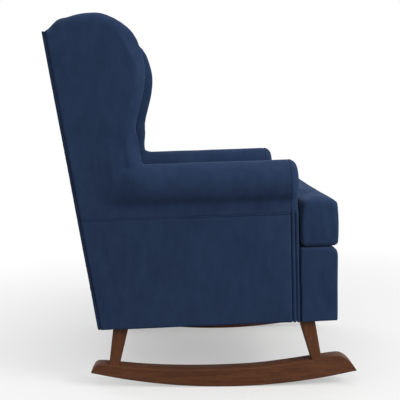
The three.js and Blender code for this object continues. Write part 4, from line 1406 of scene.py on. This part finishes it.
@dataclass
class Straps:
    """Elastic webbing under the deck and behind the back."""

    seat_count: int = 5
    back_count: int = 4
    rounding: float = 0.0007

    def build(self) -> None:
        """Replaces every strap by a woven one with soft edges."""
        cloth = FINISHES.webbing.material("webbing_weave")
        names = [f"seat_strap_{number + 1}" for number in range(self.seat_count)]
        names += [f"back_strap_{number + 1}" for number in range(self.back_count)]
        for name in names:
            made = copied_node(name, f"woven_{name}")
            bevel = made.modifiers.new("soft_edge", "BEVEL")
            bevel.width = self.rounding
            bevel.segments = 3
            bevel.limit_method = "ANGLE"
            settle_modifiers(made)
            dressed(made, cloth, "webbing", [name])


@dataclass
class Covers:
    """Padded wings and arms, their facings, the side panels and the outside back."""

    welts: WeltTree
    wing: Padding = Padding(0.0036, 12, 0.0009, 11.0)
    panel: Padding = Padding(0.0036, 2, 0.0008, 9.0)
    back: Padding = Padding(0.0036, 2, 0.0008, 7.0)
    crisp: float = 0.012
    crease_depth: float = 0.0011
    crease_width: float = 0.0030
    foot_setback_left: float = 0.021
    foot_setback_right: float = 0.004
    foot_depth: float = 0.075
    foot_rise: Point2 = (0.443, 0.455)
    foot_fade: Point2 = (0.462, 0.562)
    band_width: float = 0.036
    band_turn: float = 0.92
    band_step: float = 0.0012
    band_ease: float = 0.14
    edge_push: float = 0.0030
    push_rise: Point2 = (0.004, 0.026)
    facing_rise: Point2 = (-0.004, 0.030)
    facing_spacing: float = 0.003
    lip_depth: float = 0.0046
    border_seam_in: float = 0.0062
    border_seam_back: float = 0.0016
    border_seam_ends: Point2 = (0.003, 0.006)
    border_welt_radius: float = 0.0024
    side_seam_in: float = 0.0011
    side_seam_ends: Point2 = (0.001, 0.004)
    side_welt_radius: float = 0.0019
    back_step: float = 0.0004
    back_edge: float = 0.0012
    back_turn: float = 1.1

    def build(self) -> None:
        """Makes every cover for both sides, then the outside back."""
        for side, sign in SIDES:
            self._wing_and_arm(side, sign)
            self._facing(side, sign)
            self._side_panel(side, sign)
        self._outside_back()

    def _wing_and_arm(self, side: str, sign: int) -> None:
        """Wing that flows into the rolled arm, with a sewn band along its edge.

        Args:
            side: "left" or "right".
            sign: 1 for the left, -1 for the right.
        """
        node = f"wing_and_arm_{side}"
        made = self.wing.copy(node, f"velvet_{node}")
        _, depth, height = read_places(made).T
        edges = (height - SIZES.seam_height, depth - SIZES.arm_front, SIZES.rear(height) - depth)
        hug(made, node, np.max([1 - smooth_step(edge, self.crisp / 3, self.crisp) for edge in edges], axis=0))
        self._draw_foot_back(made, self.foot_setback_left if sign > 0 else self.foot_setback_right)
        self._turn_band(made)
        path = [BODY.place(sign * SIZES.half_width, *point) for point in self._band_line()]
        press_crease(made, on_surface(made, path), self.crease_depth, self.crease_width)
        self.wing.finish(made, [node], FINISHES.velvet.material(f"velvet_wing_{side}", 1.3 * sign), 3.0 * sign)

    def _draw_foot_back(self, made: bpy.types.Object, setback: float) -> None:
        """Draws the wing's front edge back where it meets the arm.

        Args:
            made: The wing and arm.
            setback: How far the edge moves at its foot.
        """
        places = read_places(made)
        near = 1 - smooth_step(places[:, 1], SIZES.wing_front, SIZES.wing_front + self.foot_depth)
        above = smooth_step(places[:, 2], *self.foot_rise) * (1 - smooth_step(places[:, 2], *self.foot_fade))
        places[:, 1] += setback * near * above
        write_places(made, places)

    def _turn_band(self, made: bpy.types.Object) -> None:
        """Turns the sewn band along the wing's outer front edge towards the front.

        Args:
            made: The wing and arm.
        """
        line = np.array(self._band_line())
        tree = point_tree((0.0, depth, height) for depth, height in line)
        along = np.gradient(line, axis=0)
        ahead = np.stack([along[:, 1], -along[:, 0]], axis=1) / np.linalg.norm(along, axis=1, keepdims=True)
        places = read_places(made)
        for number, (x, depth, height) in enumerate(places):
            place = tree.find((0.0, depth, height))[1]
            before = float(np.dot((depth, height) - line[place], ahead[place]))
            if not 0 < before < 2 * self.band_width or abs(x) < SIZES.wing_inner - 0.02:
                continue
            fade = min(1.0, min(place, len(line) - 1 - place) / (self.band_ease * len(line)))
            if before < self.band_width and abs(x) > SIZES.half_width - self.band_width:
                limit = SIZES.half_width - self.band_step - self.band_turn * before
                places[number, 0] = math.copysign(min(abs(x), abs(x) + (limit - abs(x)) * fade), x)
            places[number, 1:] += ahead[place] * self.edge_push * smooth_step(before, *self.push_rise) * fade
        write_places(made, places)

    def _band_line(self) -> list[Point2]:
        """Seam behind the wing's rounded front edge, top first.

        Returns:
            Its depths and heights.
        """
        stops = [
            (0.2421, 0.8048), (0.2144, 0.7600), (0.1972, 0.7226), (0.1912, 0.6965), (0.1943, 0.6602),
            (0.2015, 0.6222), (0.2131, 0.5743), (0.2222, 0.5377), (0.2250, 0.5033), (0.2229, 0.4713),
            (0.2171, 0.4418),
        ]
        return resampled(smooth_line(stops, 100), 0.003)

    def _facing(self, side: str, sign: int) -> None:
        """Arm front: a pillowed roll end over a flat panel with two round lips at its edge.

        Args:
            side: "left" or "right".
            sign: 1 for the left, -1 for the right.
        """
        outline = [
            (SIZES.arm_inner, 0.0), (SIZES.arm_inner, 0.15), (SIZES.arm_inner, SIZES.seam_height),
            *roll_line(), (SIZES.half_width, 0.15), (SIZES.half_width, 0.0),
        ]
        outline = resampled(outline, self.facing_spacing, closed=True)
        upper = smooth_step(np.array(outline)[:, 1] - SIZES.seam_height, *self.facing_rise)
        rings = []
        for lip, pillow in zip(self._lip_rows(), self._pillow_rows()):
            through, inset = (low + (high - low) * upper for low, high in zip(lip, pillow))
            ring = inset_outline(outline, 1.0, inset)
            depths = -SIZES.facing_back - through
            rings.append([BODY.place(sign * x, depth, up) for (x, up), depth in zip(ring, depths)])
        made = ring_solid(f"velvet_arm_facing_{side}", rings)
        dressed(made, FINISHES.velvet.material(f"velvet_facing_{side}", 2.1 * sign), "velvet", [f"arm_facing_{side}"])
        # Cord down the groove between the facing and the front border, in the darker seam velvet: painted shade of the
        # groove.
        x, depth = sign * (SIZES.half_width - self.border_seam_in), -SIZES.facing_front + self.border_seam_back
        foot, top = self.border_seam_ends[0], SIZES.deck_top - self.border_seam_ends[1]
        path = [BODY.place(x, depth, float(height)) for height in np.linspace(foot, top, 50)]
        shade = FINISHES.seam.material(f"border_seam_{side}", 4.4 * sign)
        welt = self.welts.along(f"border_seam_welt_{side}", [(path, False)], self.border_welt_radius, shade)
        dressed(welt, shade, "velvet")

    def _lip_rows(self) -> list[Point2]:
        """Rings of the flat panel, back first.

        Returns:
            The distance through the panel and the inset of each.
        """
        rows = []
        for middle, half, steps in ((0.0058, 0.0054, LIP_STEPS), (0.0163, 0.0050, 8)):
            for step in range(steps + 1):
                angle = math.pi * (1 - step / LIP_STEPS)
                rows.append((middle + half * math.cos(angle), self.lip_depth * (1 - math.sin(angle))))
        dome = [(0.0200, 0.0032), (0.0215, 0.0072), (0.0228, 0.0130), (0.0240, 0.0220), (0.0250, 0.0420)]
        return [*rows, *resampled(dome, 0.0080)]

    def _pillow_rows(self) -> list[Point2]:
        """Rings of the roll's end, which rounds away towards its edge.

        Returns:
            The same as for the flat panel, ring by ring.
        """
        stops = [
            (-0.0012, 0.0002), (0.0040, 0.0004), (0.0083, 0.0023), (0.0135, 0.0060), (0.0174, 0.0100), (0.0204, 0.0155),
            (0.0226, 0.0250), (0.0238, 0.0370), (0.0250, 0.0480),
        ]
        return smooth_line(stops, len(self._lip_rows()) - 1)

    def _side_panel(self, side: str, sign: int) -> None:
        """Outside arm panel under the roll, with the seam above it.

        Args:
            side: "left" or "right".
            sign: 1 for the left, -1 for the right.
        """
        node = f"side_panel_{side}"
        made = self.panel.copy(node, f"velvet_{node}")
        hug(made, node)
        cloth = FINISHES.velvet.material(f"velvet_side_{side}", 3.7 * sign)
        self.panel.finish(made, [node], cloth, 5.0 * sign)
        height, out = SIZES.seam_height, SIZES.half_width - self.side_seam_in
        front, rear = SIZES.arm_front + self.side_seam_ends[0], SIZES.rear(height) - self.side_seam_ends[1]
        path = [BODY.place(sign * out, depth, height) for depth in np.linspace(front, rear, 60)]
        welt = self.welts.along(f"side_seam_welt_{side}", [(path, False)], self.side_welt_radius, cloth)
        dressed(welt, cloth, "velvet")

    def _outside_back(self) -> None:
        """Tight back panel."""
        made = self.back.copy("outside_back", "velvet_outside_back")
        hug(made, "outside_back")
        places = read_places(made)
        behind = places[:, 1] - SIZES.rear(places[:, 2])
        edge = SIZES.half_width - self.back_step - self.back_turn * np.maximum(behind - self.back_edge, 0)
        places[:, 0] = np.clip(places[:, 0], -edge, edge)
        write_places(made, places)
        self.back.finish(made, ["outside_back"], FINISHES.velvet.material("velvet_outside_back", 6.1), 11.0)


@dataclass
class InsideBack:
    """Padded back between the wings."""

    padding: Padding = Padding(0.0045, 12, 0.0012, 8.0)
    reach_up: float = 0.060

    def _sink_on_arms(self, made: bpy.types.Object) -> None:
        """Draws the back's side corners down on to the rolled arms.

        Args:
            made: The back.
        """
        places = read_places(made)
        height, wide = places[:, 2], np.abs(places[:, 0])
        across, up = SIZES.roll_centre
        arm = up + np.sqrt(SIZES.roll_radius**2 - (across - np.clip(wide, SIZES.arm_inner, across)) ** 2)
        corner = (wide > SIZES.arm_inner + 0.001) & (height > SIZES.arm_top - 0.006)
        drop = (SIZES.arm_top - arm) * corner * (1 - smooth_step(height, SIZES.arm_top, SIZES.arm_top + self.reach_up))
        places[:, 2] -= drop
        places[:, 1] -= drop * SIZES.face_slope
        write_places(made, places)

    def build(self) -> None:
        """Makes the crowned back."""
        made = self.padding.copy("inside_back", "velvet_inside_back")
        self._sink_on_arms(made)
        self.padding.finish(made, ["inside_back"], FINISHES.velvet.material("velvet_inside_back", 8.2), 21.0)


@dataclass
class SeatFront:
    """Front border and the lined deck behind it."""

    border: Padding = Padding(0.004, 26, 0.0008, 9.0)
    deck: Padding = Padding(0.005, 6)
    soft_rim: float = 0.030

    def build(self) -> None:
        """Makes both pads."""
        border = self.border.copy("front_border", "velvet_front_border")
        below = SIZES.deck_top - read_places(border)[:, 2]
        hug(border, "front_border", smooth_step(below, self.soft_rim / 2, self.soft_rim))
        self.border.finish(border, ["front_border"], FINISHES.velvet.material("velvet_border", 9.4), 31.0)
        deck = self.deck.copy("deck_pad", "lined_deck_pad")
        self.deck.finish(deck, ["deck_pad"], FINISHES.lining.material("deck_lining"), 0.0, "lining")


@dataclass(frozen=True)
class CushionForm:
    """Boxed T shape of the filled cushion, given as a distance that is zero on its surface."""

    reach: float = 0.3195
    stem: float = 0.2316
    front: float = -0.3363
    ear: float = -0.2318
    back: float = 0.1925
    foot: float = 0.2083
    edge: float = 0.3312
    crown: float = 0.018
    crown_reach: float = 0.120
    belly: float = 0.0030
    corner_round: float = 0.011
    ear_round: float = 0.0045
    top_round: float = 0.0060
    foot_round: float = 0.0085
    spacing: float = 0.004

    def lean(self, depth: np.ndarray, height: np.ndarray) -> np.ndarray:
        """How far the back end leans with the inside back, for arrays of depths and heights."""
        return smooth_step(depth, self.back - 0.104, self.back) * SIZES.face_slope * (height - SIZES.deck_top)

    def _box(self, x: np.ndarray, depth: np.ndarray, half: float, back: float) -> np.ndarray:
        """Distance outside a round-cornered rectangle of the plan.

        Args:
            x: Places across.
            depth: Their depths.
            half: Half the rectangle's width.
            back: The depth of its rear side; its front is the cushion's.

        Returns:
            The distances, below zero inside.
        """
        middle, long = (self.front + back) / 2, (back - self.front) / 2
        radius = np.where((depth > middle) & (half > self.stem), self.ear_round, self.corner_round)
        across = np.abs(x) - half + radius
        along = np.abs(depth - middle) - long + radius
        outside = np.hypot(np.maximum(across, 0), np.maximum(along, 0))
        return outside + np.minimum(np.maximum(across, along), 0) - radius

    def distance(self, places: np.ndarray) -> np.ndarray:
        """Distance outside the surface, below zero inside.

        Args:
            places: Rows of x, depth and height of the body.

        Returns:
            One distance for each row.
        """
        x, depth, height = places.T
        depth = depth - self.lean(depth, height)
        plan = np.minimum(self._box(x, depth, self.reach, self.ear), self._box(x, depth, self.stem, self.back))
        share = np.clip((height - self.foot) / (self.edge - self.foot), 0, 1)
        side = plan + self.belly * (2 * share - 1) ** 2
        far = np.clip(1 + plan / self.crown_reach, 0, 1)
        upper = height - self.edge - self.crown * (1 - far**2)
        lower = self.foot - height
        cap = np.maximum(upper, lower)
        radius = np.where(upper > lower, self.top_round, self.foot_round)
        first, second = side + radius, cap + radius
        corner = np.hypot(np.maximum(first, 0), np.maximum(second, 0))
        return corner + np.minimum(np.maximum(first, second), 0) - radius

    def push(self, places: np.ndarray, low: np.ndarray, high: np.ndarray, rounds: int = 4) -> np.ndarray:
        """Moves places so that their distances lie between two limits.

        Args:
            places: Rows of x, depth and height of the body.
            low: The least distance of each row.
            high: The largest.
            rounds: How many steps the search takes.

        Returns:
            The moved rows.
        """
        step = 1e-5
        for _ in range(rounds):
            here = self.distance(places)
            shifts = np.eye(3) * step
            slope = np.stack([(self.distance(places + shift) - here) / step for shift in shifts], axis=1)
            size = np.maximum(np.sum(slope**2, axis=1), 0.25)
            places = places + slope * ((np.clip(here, low, high) - here) / size)[:, None]
        return places

    def seams(self) -> list[list[Vector]]:
        """The two closed seams, round the top and round the foot of the boxing.

        Returns:
            The points of each.
        """
        corners = [
            (-self.reach, self.front), (self.reach, self.front), (self.reach, self.ear), (self.stem, self.ear),
            (self.stem, self.back), (-self.stem, self.back), (-self.stem, self.ear), (-self.reach, self.ear),
        ]
        inside, outside, ear = self.spacing, self.corner_round, self.ear_round
        radii = [outside, outside, ear, inside, outside, outside, inside, ear]
        plan = rounded_corners(corners, radii, self.spacing)
        paths = []
        for height, radius in ((self.edge, self.top_round), (self.foot, self.foot_round)):
            cut = radius * (1 - math.sqrt(0.5))
            ring = inset_outline(plan, self.belly + cut, [1.0] * len(plan))
            level = height + (cut if height < self.edge else -cut)
            leans = [float(self.lean(np.array(depth), np.array(level))) for _, depth in ring]
            paths.append([BODY.place(x, depth + lean, level) for (x, depth), lean in zip(ring, leans)])
        return paths


@dataclass
class SeatCushion:
    """Loose T-shaped seat cushion with boxed, sewn sides."""

    welts: WeltTree
    form: CushionForm = CushionForm()
    padding: Padding = Padding(0.0050, 3, 0.0006, 9.0)
    sewn_width: float = 0.006
    free_from: float = 0.030
    start_inset: float = 0.004
    pressure: float = 4.0
    stiffness: float = 30.0
    bending: float = 3.0
    frames: int = 20
    most_out: float = 0.0030
    most_side: float = 0.0012
    most_in: float = 0.0006
    seam_width: float = 0.0030
    top_seam_depth: float = 0.0004
    foot_seam_depth: float = 0.0012
    welt_radius: float = 0.0012

    def build(self) -> None:
        """Makes the cushion and its seams."""
        made = self.padding.copy(CUSHION, "velvet_seat_cushion")
        self._fill_form(made, 0.0, 0.0)
        seams = [on_surface(made, path) for path in self.form.seams()]
        self._swell(made, seams)
        subdivide = made.modifiers.new("fine", "SUBSURF")
        subdivide.levels = subdivide.render_levels = 1
        settle_modifiers(made)
        self._keep_near(made)
        for seam, depth in zip(seams, (self.top_seam_depth, self.foot_seam_depth)):
            press_crease(made, on_surface(made, seam), depth, self.seam_width, fades=False)
        cloth = FINISHES.velvet.material("velvet_cushion", 12.5)
        self.padding.finish(made, [CUSHION], cloth, 17.0, body=CUSHION)
        path = on_surface(made, seams[1], -0.0001)
        welt = self.welts.along("cushion_foot_welt", [(path, True)], self.welt_radius, cloth)
        dressed(welt, cloth, "velvet", body=CUSHION)

    def _fill_form(self, made: bpy.types.Object, low: np.ndarray | float, high: np.ndarray | float) -> None:
        """Moves the cushion's corners to within two distances of its form.

        Args:
            made: The cushion.
            low: The least distance, for all corners or each.
            high: The largest.
        """
        places = read_places(made)
        low, high = np.broadcast_to(low, len(places)), np.broadcast_to(high, len(places))
        write_places(made, self.form.push(places, low, high))

    def _swell(self, made: bpy.types.Object, seams: Sequence[Sequence[Vector]]) -> None:
        """Blows the cushion up between its pinned seams, then keeps it near its form.

        Args:
            made: The remeshed cushion.
            seams: The sewn lines that hold still.
        """
        tree = point_tree(point for seam in seams for point in seam)
        away = np.array([tree.find(corner)[2] for corner in corner_array(made.data)])
        inset = -self.start_inset * smooth_step(away, self.sewn_width, self.free_from)
        self._fill_form(made, inset, inset)
        group = made.vertex_groups.new(name="sewn")
        group.add(np.flatnonzero(away < self.sewn_width).tolist(), 1.0, "REPLACE")
        cloth = made.modifiers.new("cloth", "CLOTH")
        cloth.settings.quality = 6
        cloth.settings.mass = 0.3
        cloth.settings.tension_stiffness = cloth.settings.compression_stiffness = self.stiffness
        cloth.settings.bending_stiffness = self.bending
        cloth.settings.use_pressure = True
        cloth.settings.uniform_pressure_force = self.pressure
        cloth.settings.vertex_group_mass = "sewn"
        cloth.settings.effector_weights.gravity = 0
        cloth.collision_settings.use_collision = False
        scene = bpy.context.scene
        scene.frame_start, scene.frame_end = 1, self.frames
        cloth.point_cache.frame_start, cloth.point_cache.frame_end = 1, self.frames
        for frame in range(1, self.frames + 1):
            scene.frame_set(frame)
        settle_modifiers(made)
        scene.frame_set(1)
        swollen = self.form.distance(read_places(made))
        log.info("cushion: swollen %.1f to %.1f mm from its form", swollen.min() * 1000, swollen.max() * 1000)
        self._keep_near(made)
        relax(made, 12)

    def _keep_near(self, made: bpy.types.Object) -> None:
        """Holds the swollen cushion near its form, closest where it touches the deck and the arms.

        Args:
            made: The cushion.
        """
        places = read_places(made)
        side = self.most_side * (1 - smooth_step(places[:, 1], self.form.ear - 0.010, self.form.ear))
        top = self.most_out * smooth_step(places[:, 2], self.form.edge - 0.01, self.form.edge)
        resting = smooth_step(places[:, 2], self.form.foot + 0.004, self.form.foot + 0.02)
        self._fill_form(made, -self.most_in, np.maximum(side, top) * resting)


@dataclass
class DustCover:
    """Black cloth stapled under the seat."""

    staples: StapleTree
    staple_spacing: float = 0.045
    staple_length: float = 0.011
    staple_thickness: float = 0.0009
    staple_wander: float = 0.18
    seed: int = 5
    edge_inset: float = 0.008
    front: float = -0.290
    back: float = 0.308
    under: float = 0.0039

    def build(self) -> None:
        """Makes the cloth and its staples."""
        low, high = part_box("dust_cover")
        made = copied_node("dust_cover", "lined_dust_cover")
        edit_mesh(made, lambda shape: bmesh.ops.subdivide_edges(shape, edges=shape.edges, cuts=7, use_grid_fill=True))
        dressed(made, FINISHES.lining.material("dust_cover_cloth"), "lining", ["dust_cover"])
        width, length = high[0] - low[0], (high[1] - low[1]) / math.cos(BODY.tilt)
        steel = FINISHES.steel.material("staple_wire")
        edge = self._edge(width / 2 - self.edge_inset)
        values = {
            "Spacing": self.staple_spacing, "Length": self.staple_length, "Thickness": self.staple_thickness,
            "Wander": self.staple_wander, "Seed": self.seed, "Material": steel,
        }
        staples = self.staples.mesh("dust_cover_staples", path_object([(edge, True)]), values)
        dressed(staples, steel, "steel")

    def _edge(self, half: float) -> list[Vector]:
        """Line of the staples on the cloth's underside.

        Args:
            half: Half its width.

        Returns:
            Its points.
        """
        corners = [(-half, self.front), (half, self.front), (half, self.back), (-half, self.back)]
        plan = rounded_corners(corners, [0.01] * 4, 0.01)
        return [BODY.place(x, depth, self.under) for x, depth in plan]


def main() -> None:
    """Builds the studio and every sub-assembly."""
    logging.basicConfig(level=logging.INFO, format="%(message)s")
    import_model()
    Studio().build()
    welts = WeltTree()
    for assembly in (
        Rockers(), Fixings(), Woodwork(), Straps(), Covers(welts), InsideBack(), SeatFront(), SeatCushion(welts),
        DustCover(StapleTree()),
    ):
        assembly.build()


if __name__ == "__main__":
    main()
